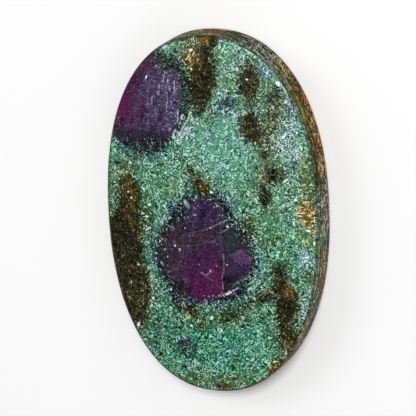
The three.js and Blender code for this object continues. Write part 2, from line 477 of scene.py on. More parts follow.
# %% Soft patches: x, y, half across, half along, turn in degrees, strength
PATCHES = {
    # Thin stain, through which the mica still shows.
    "smudge": [
        (2.2, -11.4, 1.8, 0.6, 12, 0.8), (-1.3, -12.8, 0.4, 0.9, 0, 0.9),
        (0.6, -12.2, 1.1, 0.3, 15, 0.6), (4.6, -9.9, 1.6, 0.6, 15, 0.8),
        (6.3, -9.2, 1.6, 0.6, 22, 1.05),
        (4.9, -0.8, 0.7, 1.4, 25, 0.7), (6.7, 5.0, 0.4, 1.0, 0, 1.0),
        (6.9, 7.7, 0.4, 0.7, 10, 1.0), (8.2, 14.3, 1.0, 1.2, 0, 0.9),
        (7.9, 12.2, 0.9, 1.1, 0, 0.8), (8.0, 5.5, 1.4, 0.9, 0, 0.95),
        (-2.2, 14.8, 0.6, 2.8, 0, 1.0),
        (-10.2, 4.9, 0.9, 0.6, 0, 0.7), (-2.2, 17.6, 0.7, 1.6, 12, 0.72),
        (7.2, -17.5, 1.8, 0.7, 42, 1.0), (0.7, -20.3, 0.9, 0.5, 0, 1.0),
        (8.8, -13.4, 1.5, 2.6, 0, 1.0),
        (11.9, 3.4, 0.5, 3.2, 0, 0.5), (12.0, -2.2, 0.4, 1.4, 0, 0.5),
        (-12.2, -2.0, 0.6, 5.0, 0, 0.6), (8.2, -6.4, 1.2, 0.5, 0, 0.5),
        (0.9, -19.6, 0.5, 0.5, 0, 0.6), (-2.0, -19.6, 1.6, 0.5, 0, 0.4),
        (-9.3, 6.6, 1.4, 0.3, -10, 0.8), (-6.6, 6.6, 1.2, 0.25, 12, 0.7),
        (8.6, 10.8, 0.6, 0.6, 0, 0.5), (-1.9, 5.4, 0.5, 0.6, 0, 0.8),
    ],
    # Where the stain glows gold.
    "gold": [
        (-0.3, 20.5, 0.9, 0.6, 0, 1.0), (-2.1, 18.1, 0.5, 1.2, 12, 0.9),
        (-0.8, 18.6, 0.4, 1.6, 0, 0.5), (11.5, 0.9, 1.0, 1.5, 0, 1.3),
        (12.3, -0.4, 0.4, 1.2, 0, 1.0), (7.2, -17.5, 1.6, 0.6, 42, 0.8),
        (-9.8, 2.2, 1.0, 1.6, 0, 0.5), (-9.7, -0.4, 0.9, 1.8, 0, 0.3),
        (-9.0, -3.4, 0.5, 1.6, 0, 0.2), (-0.5, 3.6, 0.6, 0.9, 0, 0.5),
        (-8.8, -9.6, 0.5, 1.6, 0, 0.2),
        (9.1, -8.4, 0.7, 0.9, 0, 0.5), (5.2, 14.6, 0.7, 0.9, 0, 0.3),
        (-1.7, 18.4, 0.8, 1.4, 0, 0.8), (8.8, -14.8, 0.8, 1.4, 0, 0.3),
        (6.2, 9.5, 0.5, 0.4, 0, 0.6), (6.7, 5.0, 0.3, 0.9, 0, 0.6),
        (0.7, -20.3, 0.8, 0.4, 0, 0.4), (-2.4, -11.3, 0.6, 0.5, 0, 0.2),
    ],
    # Yellower, olive mica.
    "leaf": [
        (-2.5, 20.0, 1.2, 0.8, 0, 1.0), (2.2, 17.6, 1.4, 2.8, 0, 0.35),
        (-10.3, 4.9, 1.2, 0.9, 0, 0.8), (11.5, 4.2, 0.9, 3.2, 0, 1.3),
        (11.5, -2.2, 0.9, 1.6, 0, 0.8), (8.1, 14.2, 1.0, 1.2, 0, 0.7),
        (7.2, 6.6, 0.8, 1.8, 0, 0.6), (-12.1, 1.5, 0.5, 3.2, 0, 0.5),
        (1.3, -12.2, 3.4, 1.3, 10, 0.5), (-0.3, -19.6, 4.2, 1.2, 0, 0.5),
        (11.7, -6.4, 0.4, 0.7, 0, 1.0), (-4.4, 2.9, 1.0, 0.8, 0, 0.4),
        (7.8, 11.6, 1.0, 1.6, 0, 0.5), (5.2, -0.6, 0.6, 1.4, 20, 0.8),
        (8.0, -1.0, 3.2, 4.4, 0, 0.5), (6.2, 2.2, 2.4, 2.0, 0, 0.3),
        (-8.9, -1.2, 0.9, 2.6, 0, 0.6), (10.4, -13.4, 0.7, 1.6, 0, 0.6),
        (-9.3, 6.5, 1.4, 0.35, -8, 1.0), (-1.6, -11.0, 1.6, 0.6, 0, 0.4),
    ],
    # Bluer mica.
    "blue": [
        (2.5, 13.2, 1.2, 1.2, 0, 0.7), (7.0, 17.3, 0.9, 1.1, 25, 0.9),
        (6.5, 12.6, 0.6, 0.8, 0, 1.0), (2.7, 1.6, 1.0, 1.1, -20, 1.0),
        (-4.4, 1.0, 0.8, 1.0, 0, 0.9), (-5.4, 0.0, 0.7, 0.9, 0, 0.6),
        (-7.3, -4.6, 0.6, 1.9, 0, 0.7), (6.1, -5.4, 0.5, 1.4, 0, 0.7),
        (11.2, -4.4, 0.9, 1.3, 0, 0.8), (10.8, -9.6, 0.5, 2.2, 0, 0.7),
        (10.2, 10.8, 0.9, 1.5, 0, 0.5), (-10.6, 7.6, 1.6, 0.4, -22, 0.8),
        (-3.8, -15.1, 0.9, 0.8, -10, 1.0), (-6.3, -9.8, 1.0, 2.0, 0, 0.3),
        (8.8, 5.2, 1.0, 0.6, 25, 0.5),
        (10.2, 6.9, 0.5, 1.0, 0, 0.7), (1.2, 10.6, 2.0, 2.4, 0, 0.3),
        (-8.6, 5.8, 2.0, 0.7, 0, 0.4),
    ],
    # Dark blue and white flakes mixed.
    "navy": [
        (2.5, 13.2, 1.0, 1.0, 0, 1.3), (-4.4, 1.0, 0.7, 0.9, 0, 0.8),
        (2.9, 1.9, 0.7, 0.9, -20, 0.6), (-3.8, -15.3, 1.0, 0.9, -10, 1.3),
        (9.7, 12.9, 0.4, 0.9, 15, 0.6), (10.4, 7.4, 0.3, 0.9, 0, 0.6),
    ],
    # A thin olive veil, wide and even.
    "veil": [
        (7.0, 9.4, 1.3, 3.4, 0, 1.1), (8.0, 12.6, 1.2, 2.2, 0, 1.1),
        (-1.8, 15.2, 1.1, 3.4, 0, 1.1),
        (6.4, 5.6, 1.2, 1.8, 0, 0.7), (8.4, 5.0, 1.3, 1.1, 0, 0.6),
        (-7.6, -0.6, 1.1, 5.0, 0, 0.5), (-7.2, -9.6, 1.2, 4.0, 0, 0.4),
        (-1.9, 18.8, 1.4, 2.4, 0, 1.2), (-9.8, 5.4, 1.8, 1.0, 0, 0.8),
        (4.9, -1.2, 0.9, 1.7, 22, 0.9), (2.4, -11.8, 4.2, 1.2, 12, 0.7),
        (12.0, 3.0, 0.7, 4.6, 0, 0.8), (0.0, -19.8, 5.6, 1.1, 0, 0.7),
        (8.9, -14.0, 1.8, 3.0, 0, 1.0), (2.3, 16.6, 1.4, 2.2, 0, 0.4),
        (5.3, 10.9, 1.4, 1.8, 0, 0.6),
        (-1.9, 5.6, 1.3, 1.2, 0, 0.6), (6.9, -8.4, 2.4, 1.0, 20, 0.6),
        (-2.6, -12.2, 2.6, 1.4, 0, 0.5), (5.2, 12.9, 1.3, 3.6, 0, 0.5),
        (-9.6, -14.8, 1.6, 2.0, 30, 0.4), (11.6, -6.6, 0.8, 1.2, 0, 0.6),
        (0.6, 12.0, 1.2, 1.0, 0, 0.5), (7.6, -13.0, 1.4, 4.0, 0, 0.4),
    ],
    # Mica packed with pale flakes. Along the right side of the face these patches also paint a
    # whitish sheen.
    "pale": [
        (9.6, 13.4, 0.7, 1.4, 15, 1.0), (8.6, 8.6, 1.7, 0.9, 0, 0.9),
        (10.5, 7.4, 0.4, 1.2, 0, 0.9), (5.2, -3.1, 0.5, 0.5, 0, 1.0),
        (5.8, -7.6, 0.5, 0.6, 0, 0.9), (-2.9, 3.9, 0.8, 0.7, 0, 0.4),
        (10.8, -10.4, 0.35, 2.0, 0, 1.0),
        (8.6, 15.7, 0.5, 0.5, 25, 0.9), (-2.3, 10.0, 1.0, 1.6, -28, 0.9),
        (-2.6, -18.0, 0.9, 1.0, 0, 0.6), (9.8, 10.8, 0.9, 1.6, 0, 0.7),
        (11.3, -4.3, 0.7, 0.9, 0, 0.6), (2.5, 12.6, 0.8, 0.6, 0, 0.5),
        (10.6, 5.2, 0.6, 0.8, 0, 0.5), (-7.6, -1.2, 0.8, 1.2, 0, 0.3),
        (8.4, 0.6, 0.9, 1.2, 0, 0.3),
    ],
    # Dark, close-grained mica.
    "shade": [
        (-7.7, -1.6, 1.0, 2.0, 0, 0.9), (-6.3, -8.6, 1.4, 1.6, 0, 0.5),
        (8.1, 14.2, 1.0, 1.2, 0, 1.1), (-3.7, 19.1, 0.7, 0.6, 0, 0.9),
        (7.5, 11.2, 0.9, 2.6, 0, 0.6),
        (4.7, -1.3, 0.8, 1.6, 22, 0.9), (-4.6, 18.0, 1.9, 1.0, -10, 1.0),
        (2.5, 13.3, 0.8, 0.8, 0, 0.9), (8.0, 11.8, 1.0, 1.6, 0, 0.6),
        (3.4, -10.3, 3.4, 0.6, 12, 0.8), (-2.6, -12.6, 2.2, 1.2, 0, 0.45),
        (6.4, -8.6, 1.6, 0.7, 20, 0.7), (-7.0, -14.6, 2.6, 3.0, 0, 0.45),
        (0.0, 3.1, 3.2, 0.5, 0, 0.7), (7.9, 5.2, 1.2, 1.0, 0, 0.9),
        (-2.3, 14.6, 0.9, 3.0, 0, 1.3), (-11.2, 5.6, 0.5, 0.8, 0, 0.7),
        (-3.4, -15.8, 1.1, 1.0, -20, 1.5), (9.8, 13.0, 0.5, 1.2, 0, 0.5),
        (8.2, -6.3, 1.4, 0.5, 0, 0.7), (-8.4, -5.4, 0.7, 4.0, 0, 0.5),
        (-11.9, 1.6, 0.7, 4.0, 0, 0.4), (6.9, -2.6, 1.0, 1.4, 0, 0.3),
        (3.9, 18.9, 0.6, 0.8, 0, 0.5), (9.9, 6.4, 0.9, 0.6, 30, 0.6),
        (10.3, -6.6, 1.2, 0.8, 0, 0.4), (-4.6, -13.4, 1.6, 2.6, 0, 0.35),
    ],
    # Brighter, calmer mica, and deeper green. The large patches are partly a change in the mica
    # and partly painted light and shade: lighter over the middle and upper face, darker at its
    # lower end.
    "mint": [
        (2.4, 8.2, 4.2, 3.6, -20, 1.0), (1.9, 17.2, 1.2, 3.4, 0, 0.7),
        (7.4, 1.2, 2.0, 3.0, 20, 0.6), (-1.6, 8.6, 2.0, 2.0, 0, 0.6),
        (-8.6, 6.0, 3.2, 1.4, 0, 0.5), (3.4, 18.4, 1.4, 2.0, 0, 0.6),
    ],
    "deep": [
        (-1.0, -14.6, 7.5, 5.0, 0, 1.0), (5.0, -13.6, 3.0, 4.0, 0, 0.8),
        (-8.0, -1.0, 1.4, 6.0, 0, 0.7), (8.2, -3.2, 2.4, 4.0, 0, 1.0),
        (-10.8, 7.4, 1.6, 1.6, 0, 0.8),
    ],
    # Inside the crystals.
    "maroon": [
        (-9.2, 15.9, 1.1, 2.2, -30, 1.0), (-7.4, 17.6, 0.8, 0.8, -30, 0.9),
        (-1.9, -8.4, 1.0, 1.4, 0, 0.6), (-0.6, -9.3, 1.4, 0.5, 0, 0.4),
        (-10.9, 13.2, 0.6, 2.2, -20, 0.7),
    ],
    "glow": [
        (-10.3, 12.7, 1.2, 1.5, -25, 0.95), (-9.3, 12.0, 1.6, 2.2, -15, 0.4),
        (-9.6, 10.6, 1.3, 0.9, 0, 0.3), (0.7, -7.6, 0.8, 1.8, 0, 0.45),
        (-1.4, -8.2, 1.3, 1.2, 0, 0.4),
    ],
    "lavender": [
        (-4.4, 14.2, 1.5, 2.4, 0, 1.0), (-4.1, 11.4, 1.1, 2.0, 0, 1.0),
        (-6.6, 13.6, 1.2, 2.8, 0, 0.6), (-6.0, 17.1, 0.6, 0.5, 0, 0.9),
        (-8.7, 12.2, 0.6, 1.0, 0, 0.5), (-8.6, 10.4, 0.8, 0.8, 0, 0.4),
    ],
    "violet": [
        (-0.4, 0.5, 1.6, 1.2, 0, 0.9), (-2.4, -0.9, 1.2, 0.8, 25, 0.5),
        (0.2, -3.9, 1.6, 0.8, 8, 0.4),
    ],
    "earth": [
        (-4.4, -2.4, 1.6, 2.0, 0, 0.7), (-0.6, -2.2, 2.6, 0.8, 12, 0.8),
        (-4.6, -6.4, 1.2, 1.6, 0, 0.8), (-4.0, -8.2, 0.9, 1.0, 0, 0.6),
        (-0.6, -3.6, 1.4, 0.7, 0, 0.35), (-10.8, 9.8, 0.8, 0.7, 0, 0.6),
    ],
    "charcoal": [
        (-5.2, -4.6, 0.9, 1.2, 0, 0.7), (-3.9, -9.0, 1.4, 1.1, 0, 0.8),
        (-3.4, 0.8, 1.0, 1.2, 0, 1.0), (-6.2, 8.8, 2.0, 0.9, 0, 0.9),
        (-10.2, 8.6, 2.2, 0.9, 0, 0.95), (1.4, 1.2, 0.7, 0.9, 0, 0.7),
        (-8.4, 9.6, 1.6, 0.5, 0, 0.5),
        (2.3, -7.5, 0.9, 1.0, 30, 1.0), (2.6, -0.4, 0.9, 0.4, 25, 0.7),
        (-0.4, -8.1, 0.7, 0.6, 0, 0.35), (-2.0, -1.2, 2.2, 0.3, 14, 0.5),
        (-3.4, -9.9, 2.4, 0.5, 0, 0.6),
    ],
}
# Round the wall, where the mica is cut across its layers.
WALL_PATCHES = {
    "olive": [(0.0, 21.0, 4.8, 1.5, 0, 1.0), (-5.5, 19.6, 3.0, 1.6, 20, 0.8)],
    "slate": [
        (5.9, 19.2, 1.9, 1.3, -35, 1.0), (12.9, 1.4, 1.0, 2.3, 0, 1.0),
        (11.9, -10.4, 1.4, 1.4, 0, 0.8), (-12.4, -7.0, 1.0, 2.2, 0, 0.8),
        (-9.0, -16.6, 1.8, 1.6, 0, 0.6),
    ],
    "beads": [
        (8.3, 17.2, 1.2, 1.2, -45, 0.9), (11.9, 10.2, 0.8, 1.3, 0, 0.6),
        (12.6, 5.6, 0.8, 1.5, 0, 0.9), (12.9, -5.8, 0.8, 1.4, 0, 1.0),
        (13.0, 1.8, 1.0, 2.9, 0, 1.0), (6.4, -18.8, 2.2, 1.2, 0, 0.8),
        (-12.6, 2.6, 0.9, 2.4, 0, 0.9), (-3.4, -20.8, 2.0, 0.9, 0, 0.7),
        (-11.6, -10.4, 1.0, 1.6, 0, 0.7),
    ],
    "rust": [
        (10.6, 13.0, 2.6, 3.4, -20, 1.0), (12.2, 8.4, 1.0, 3.6, 0, 1.0),
        (9.4, -15.0, 2.4, 2.8, 30, 1.1), (12.4, -8.0, 0.8, 1.4, 0, 0.6),
        (12.9, -5.6, 1.0, 1.2, 0, 0.6),
        (-12.9, -6.0, 1.6, 8.0, 0, 0.7), (0.0, -21.0, 5.0, 1.0, 0, 0.6),
        (-8.4, 17.6, 2.0, 2.0, 30, 0.5), (0.0, 21.2, 1.3, 1.0, 0, 0.5),
    ],
    "moss": [
        (10.8, 12.4, 3.0, 4.6, -20, 1.0), (12.5, 6.4, 1.0, 4.0, 0, 1.0),
        (-12.4, 4.6, 1.2, 4.0, 0, 0.6), (7.8, 17.6, 1.4, 1.4, -45, 0.5),
    ],
    # A painted highlight: a pale colour painted where the polished edge of the face catches the
    # light.
    "painted_highlight": [
        (4.9, 19.6, 1.3, 0.9, -30, 1.0), (9.0, 15.4, 0.7, 1.1, 35, 0.9),
        (10.9, -10.6, 0.6, 1.6, -20, 0.5),
    ],
}
print(f"{len(PATCHES) + len(WALL_PATCHES)} kinds of patch")

# %% How far points lie from lines, ovals and outlines
MAP_LEAN = (0.22, -0.14)  # how far the pattern shifts for each millimetre down
MAP_TAPER = 0.22  # how much the crystals narrow for each millimetre down
RIM_TAPER = 0.7  # the rims narrow less, by this share
MAP_RIPPLE = 0.25  # how much the lean wavers
RIM_SPREAD = 0.15  # how far the dark rims reach past their outlines, in millimetres
FACE_STARTS = 4.0  # the face lies above this height, in millimetres
CURVE_STEPS = 5
TINY = 1e-9


def gap_to_line(x, y, x0, y0, x1, y1):
    """How far each point lies from the straight line between two others."""
    run_x, run_y = x1 - x0, y1 - y0
    along = ((x - x0) * run_x + (y - y0) * run_y) / (run_x**2 + run_y**2)
    along = np.clip(along, 0, 1)
    return np.hypot(x - x0 - along * run_x, y - y0 - along * run_y)


def ring_round(x, y, centre_x, centre_y, half_x, half_y, turn):
    """Which ring of a turned oval each point lies on: 0 in its middle, 1 on its edge."""
    cosine, sine = np.cos(np.radians(turn)), np.sin(np.radians(turn))
    across = (x - centre_x) * cosine + (y - centre_y) * sine
    along = (y - centre_y) * cosine - (x - centre_x) * sine
    return np.hypot(across / half_x, along / half_y)


def closed_curve(corners):
    """A smooth closed line through the corners of an outline (a Catmull-Rom curve)."""
    corners = np.array(corners)
    before, after = np.roll(corners, 1, 0), np.roll(corners, -1, 0)
    beyond = np.roll(corners, -2, 0)
    line = []
    for share in np.arange(CURVE_STEPS) / CURVE_STEPS:
        bend = (2 * before - 5 * corners + 4 * after - beyond) * share**2
        twist = (3 * corners - before - 3 * after + beyond) * share**3
        line.append(0.5 * (2 * corners + (after - before) * share + bend + twist))
    return np.stack(line, 1).reshape(-1, 2)


def depth_inside(x, y, line):
    """How deep each point lies inside a closed line, in millimetres; negative outside."""
    nearest = np.full(x.shape, np.inf)
    inside = np.zeros(x.shape, bool)
    for (x0, y0), (x1, y1) in zip(line, np.roll(line, -1, 0)):
        nearest = np.minimum(nearest, gap_to_line(x, y, x0, y0, x1, y1))
        crosses = (y0 > y) != (y1 > y)
        rise = y1 - y0 if abs(y1 - y0) > TINY else TINY
        inside ^= crosses & (x < x0 + (y - y0) * (x1 - x0) / rise)
    return np.where(inside, nearest, -nearest)


# %% Reading the map at every point of the mesh
def soft_patches(x, y, patches):
    """The strongest of several soft ovals at each point, from 0 to 1."""
    found = np.zeros(x.shape)
    for *oval, strength in patches:
        found = np.maximum(found, strength * np.clip(1.5 - ring_round(x, y, *oval), 0, 1))
    return found


def read_map(x, y, z):
    """Every attribute of the map at points of the stone, all in millimetres."""
    found = {name: soft_patches(x, y, patches) for name, patches in WALL_PATCHES.items()}
    down = np.clip(FACE_STARTS - z, 0, None)
    x = x - MAP_LEAN[0] * down + MAP_RIPPLE * down * np.sin(0.55 * y + 0.8 * down)
    y = y - MAP_LEAN[1] * down
    taper = MAP_TAPER * down

    def deepest(outlines):
        return np.max([depth_inside(x, y, closed_curve(corners)) for corners in outlines], 0)

    found |= {name: soft_patches(x, y, patches) for name, patches in PATCHES.items()}
    found["crystal"] = deepest((UPPER_RUBY, LOWER_RUBY)) - taper
    found["rim"] = deepest((UPPER_RIM, LOWER_RIM)) - taper * RIM_TAPER + RIM_SPREAD
    found["stain"] = deepest(STAINS)
    for name, corners in SHARP_ZONES.items():
        found[name] = depth_inside(x, y, np.array(corners))
    return found


def places_in_mm(parts, key):
    """Where the points or the faces of a mesh lie, as x, y and z."""
    places = np.empty(len(parts) * 3)
    parts.foreach_get(key, places)
    return places.reshape(-1, 3).T / MM


def store(mesh, name, kind, domain, values):
    """Keeps values on a mesh as an attribute, one for each point or face."""
    slot = {"FLOAT": "value", "FLOAT_VECTOR": "vector", "FLOAT_COLOR": "color"}[kind]
    kept = mesh.attributes.new(name, kind, domain)
    kept.data.foreach_set(slot, np.asarray(values, np.float32).T.ravel())


print("mineral map:")
for name, values in read_map(*places_in_mm(stone.data.vertices, "co")).items():
    store(stone.data, name, "FLOAT", "POINT", values)
    print(f"  {name:11} from {values.min():6.2f} to {values.max():5.2f}")

# %% [markdown]
# ## Relief
#
# Corundum is far harder than mica, so when both are polished together the crystals stay a
# few hundredths of a millimetre proud, and the mica between them dips and loses flakes.
# A second Geometry Nodes tree lowers the surface by these amounts. It only ever lowers
# it, so the stone never grows past its cut size.
#
# The same tree gives each face its finish: polished on top, softer where the wheel rolled
# over the shoulder, ground on the wall, lapped on the back.

# %% The relief tree
RELIEF_SIZES = {
    "Crystal Height": 0.05 * MM,
    "Dip Depth": 0.04 * MM,
    "Pit Depth": 0.09 * MM,
    "Saw Mark Depth": 0.03 * MM,
}
DIP_SCALE = 0.9  # waves to the millimetre
PIT_SCALE = 2.1
PIT_STARTS = 0.62  # the noise has to rise past this to make a pit
SAW_MARK_SCALE = 1.1
SAW_MARK_STRETCH = (0.25, 0.25, 2.6)
SHOULDER_INSET = 0.45  # how far in from the wall the rounded shoulder reaches, in millimetres
# How upright a face looks: 1 faces straight up, 0 sideways, -1 straight down.
WALL_UPRIGHT = 0.55
BACK_UPRIGHT = -0.9


def relief_tree():
    tree, geometry, size = new_geometry_tree("Polishing relief", RELIEF_SIZES)
    place = tree.nodes.new("GeometryNodeInputPosition").outputs[0]
    normal = tree.nodes.new("GeometryNodeInputNormal").outputs[0]

    def kept(name):
        node = add_node(tree, "GeometryNodeInputNamedAttribute", {"Name": name}, data_type="FLOAT")
        return Field(tree, node.outputs["Attribute"])

    def waves(where, scale):
        return noise(tree, where, scale / MM)[0]

    upright = parts_of(tree, normal)[2]
    on_face = ((upright - 0.35) / 0.3).clamp()
    on_back = upright.math("LESS_THAN", BACK_UPRIGHT)
    crystal = (kept("crystal") / 0.35 + 0.5).clamp()
    dip = waves(place, DIP_SCALE) * size["Dip Depth"]
    pits = ((waves(place, PIT_SCALE) - PIT_STARTS) / 0.1).clamp() * size["Pit Depth"]
    soft = (size["Crystal Height"] + dip + pits) * (1 - crystal)
    drawn_out = vector_math(tree, "MULTIPLY", place, SAW_MARK_STRETCH)
    saw_marks = waves(drawn_out, SAW_MARK_SCALE) * size["Saw Mark Depth"]
    lower = (soft * on_face + saw_marks * (1 - on_face)) * (1 - on_back)
    push = vector_math(tree, "SCALE", normal, lower * -1.0)
    moved = add_node(tree, "GeometryNodeSetPosition", {"Geometry": geometry, "Offset": push})

    is_shoulder = kept("inset").math("LESS_THAN", SHOULDER_INSET)
    is_wall = upright.math("LESS_THAN", WALL_UPRIGHT)
    coats = zip((True, is_shoulder, is_wall, on_back), FINISH_NAMES)
    finish_tree(tree, moved.outputs[0], coats)
    return tree


rough_cut = stone
stone = run_tree(relief_tree(), RELIEF_SIZES, "polished_stone", source=rough_cut)
bpy.data.objects.remove(rough_cut)
stone.name = "polished_stone"
highest = max(vertex.co.z for vertex in stone.data.vertices) / MM
print(f"highest point {highest:.2f} mm")

# %% [markdown]
# ## The materials
#
# Fuchsite is a felt of small green mica flakes. Each flake has its own tone and its own
# tilt, so some are dark, some are pale, and a few flash. That is the heart of the look,
# so it is a node group of its own, and the crystals, the dark rims and the stains all use
# it with other colours and sizes.
#
# Everything reads Object coordinates, in millimetres, and the attributes of the map.


# %% Helpers for materials
def hex_colour(code):
    """A colour written as a painter sees it, turned into the linear numbers of light."""
    parts = [int(code[i : i + 2], 16) / 255 for i in (0, 2, 4)]
    linear = [p / 12.92 if p <= 0.04045 else ((p + 0.055) / 1.055) ** 2.4 for p in parts]
    return (*linear, 1.0)


def make_group(name, inputs, outputs, formula):
    """A node group whose outputs are what a formula makes of its inputs.

    An input is given by its kind, or by the number that it starts from.
    """
    tree = bpy.data.node_groups.new(name, "ShaderNodeTree")
    new_socket = tree.interface.new_socket
    for label, given in inputs.items():
        kind = given if isinstance(given, str) else "Float"
        socket = new_socket(label, in_out="INPUT", socket_type="NodeSocket" + kind)
        if kind == "Float":
            socket.default_value = given
    for label, kind in outputs.items():
        new_socket(label, in_out="OUTPUT", socket_type="NodeSocket" + kind)
    start = tree.nodes.new("NodeGroupInput").outputs
    end = tree.nodes.new("NodeGroupOutput").inputs
    results = formula(tree, *(Field(tree, start[label]) for label in inputs))
    for label, value in results.items():
        connect(tree, value, end[label])
    print(f"{name}: {len(tree.nodes)} nodes")
    return tree


def use_group(tree, group, feeds):
    """Puts a group in a tree, and gives back its outputs by name."""
    node = add_node(tree, "ShaderNodeGroup", feeds, node_tree=group)
    return {socket.name: Field(tree, socket) for socket in node.outputs}


def cells(tree, place):
    """Voronoi cells: distance from the nearest centre, and a random colour for each cell."""
    node = add_node(tree, "ShaderNodeTexVoronoi", {"Vector": place, "Scale": 1.0})
    return Field(tree, node.outputs["Distance"]), node.outputs["Color"]


def turned(tree, vector, angle):
    """A place turned about the upright axis."""
    feeds = {"Vector": vector, "Angle": angle}
    return add_node(tree, "ShaderNodeVectorRotate", feeds, rotation_type="Z_AXIS").outputs[0]


def centred(tree, colour, amount):
    """The three numbers of a colour as a push to either side of zero."""
    shifted = vector_math(tree, "SUBTRACT", colour, (0.5, 0.5, 0.5))
    return vector_math(tree, "SCALE", shifted, amount)


def attribute(tree, name, output="Fac"):
    """What the mesh keeps under a name: a number, or a Vector or Color if asked for."""
    node = add_node(tree, "ShaderNodeAttribute", attribute_name=name)
    return Field(tree, node.outputs[output])


def layer(tree, share, under, over):
    """Paints one colour over another by a share from 0 to 1."""
    feeds = {0: share, 6: under, 7: over}
    return add_node(tree, "ShaderNodeMix", feeds, data_type="RGBA").outputs[2]


def ramp(tree, tone, palette):
    """The palette's colour for each tone, from 0 at its darkest to 1 at its lightest."""
    node = add_node(tree, "ShaderNodeValToRGB", {0: tone})
    codes = PALETTES[palette].split()
    points = node.color_ramp.elements
    points.remove(points[0])
    for i, code in enumerate(codes):
        position = i / (len(codes) - 1)
        point = points[0] if i == 0 else points.new(position)
        point.position = position
        point.color = hex_colour(code)
    return node.outputs[0]


def paint(tree, colour, coats):
    """Lays coats over a colour in turn. Each has a palette, a share and a tone."""
    for palette, share, tone in coats:
        colour = layer(tree, share, colour, ramp(tree, tone, palette))
    return colour


# %% [markdown]
# ## Small patterns
#
# Four groups make the patterns that everything else is built from. The felt adds up four
# sheets of flakes, each turned another way, and a fine grain. Specks are dots of random
# size. A seam is a line between two points, for a crack or a thin bright edge. An oval mark
# is one flake or one hole.

# %% Group: a felt of mica flakes
FLAKE_TURNS = (8, 52, 98, 141)
FLAKE_EDGE = 0.3  # how softly a flake ends, as a share of its cell
SWAY_SCALE = 0.9  # the rows of flakes bend this often to the millimetre
SWAY = 1.3
GRAIN_SCALE = 5.8  # grains to the millimetre


def mica_felt(tree, place, size, stretch, flash_share):
    """Mica: thin flakes that lie every way, some darker than the rest and some paler.

    Stroke runs from about -1 on the darkest flakes to 1 on the palest. Flash marks the few
    flakes that catch the light. Tilt is how each flake leans.
    """
    sway = centred(tree, noise(tree, place, SWAY_SCALE, detail=1.0)[1], SWAY)
    swayed = vector_math(tree, "ADD", place, sway)
    shrink = {0: 1.0 / (size * stretch), 1: 1.0 / size, 2: 0.8 / size}
    squeeze = add_node(tree, "ShaderNodeCombineXYZ", shrink).outputs[0]
    stroke, flash, tilt = None, None, None
    for turn in FLAKE_TURNS:
        swung = turned(tree, swayed, math.radians(turn))
        far, colour = cells(tree, vector_math(tree, "MULTIPLY", swung, squeeze))
        chance, weight, shine = parts_of(tree, colour, "ShaderNodeSeparateColor")
        body = ((weight * 0.25 + 0.5 - far) / FLAKE_EDGE).clamp()
        one = (shine - 0.5) * 2.0 * body
        catches = chance.math("LESS_THAN", flash_share) * body
        lean = centred(tree, colour, body)
        stroke = one if stroke is None else stroke + one
        flash = catches if flash is None else flash.math("MAXIMUM", catches)
        tilt = lean if tilt is None else vector_math(tree, "ADD", tilt, lean)
    grain, _ = noise(tree, place, GRAIN_SCALE, rough=0.7)
    return {"Stroke": stroke, "Flash": flash, "Grain": (grain - 0.5) * 2.0, "Tilt": tilt}


felt_group = make_group(
    "Mica felt",
    {"Place": "Vector", "Flake Size": 0.2, "Stretch": 2.5, "Flash Share": 0.1},
    {"Stroke": "Float", "Flash": "Float", "Grain": "Float", "Tilt": "Vector"},
    mica_felt,
)


# %% Group: small specks
def speckles(tree, place, spacing, radius, share):
    far, colour = cells(tree, vector_math(tree, "SCALE", place, 1.0 / spacing))
    chance, weight, _ = parts_of(tree, colour, "ShaderNodeSeparateColor")
    reach = radius * (weight * 0.9 + 0.5) / spacing
    spot = ((reach - far) / (reach * 0.4) + 0.5).clamp()
    return {"Mask": spot * chance.math("LESS_THAN", share)}


speck_group = make_group(
    "Specks",
    {"Place": "Vector", "Spacing": 0.6, "Radius": 0.1, "Share": 0.5},
    {"Mask": "Float"},
    speckles,
)

# %% Group: a crack or a thin edge, from one point to another
LEVEL = (1, 1, 0)  # what a place is multiplied by when its height doesn't count


def seam(tree, place, start, end):
    """Start holds x, y and the width; end holds x, y and how strongly the line shows."""
    width, strength = parts_of(tree, start)[2], parts_of(tree, end)[2]
    place, start, end = (vector_math(tree, "MULTIPLY", v, LEVEL) for v in (place, start, end))
    run = vector_math(tree, "SUBTRACT", end, start)
    offset = vector_math(tree, "SUBTRACT", place, start)
    dot = [vector_math(tree, "DOT_PRODUCT", v, run) for v in (offset, run)]
    foot = vector_math(tree, "SCALE", run, (dot[0] / dot[1]).clamp())
    gap = vector_math(tree, "LENGTH", vector_math(tree, "SUBTRACT", offset, foot))
    return {"Mask": (1.6 - gap / width).clamp() * strength}


seam_group = make_group(
    "Seam", {"Place": "Vector", "From": "Vector", "To": "Vector"}, {"Mask": "Float"}, seam
)


# %% Group: one small oval mark
def oval_mark(tree, place, where, size, ragged):
    """Where holds x, y and the turn; size holds the half sizes and the strength."""
    offset = vector_math(tree, "SUBTRACT", place, where)
    swung = turned(tree, offset, parts_of(tree, where)[2] * -1.0)
    scaled = vector_math(tree, "DIVIDE", swung, size)
    ring = vector_math(tree, "LENGTH", vector_math(tree, "MULTIPLY", scaled, LEVEL))
    edge = (1.0 + ragged - ring) * 2.2 + 0.5
    return {"Mask": edge.clamp() * parts_of(tree, size)[2]}


oval_group = make_group(
    "Oval mark",
    {"Place": "Vector", "Where": "Vector", "Size": "Vector", "Ragged": 0.0},
    {"Mask": "Float"},
    oval_mark,
)

# %% [markdown]
# ## The rock's colours
#
# Each mineral has a palette of five even steps, from its darkest grains to its palest. The
# felt and the grain give every point a tone, and the palette turns the tone into a colour.
# The minerals are then laid over each other: green mica first, then iron stains, dark rims
# and crystals.

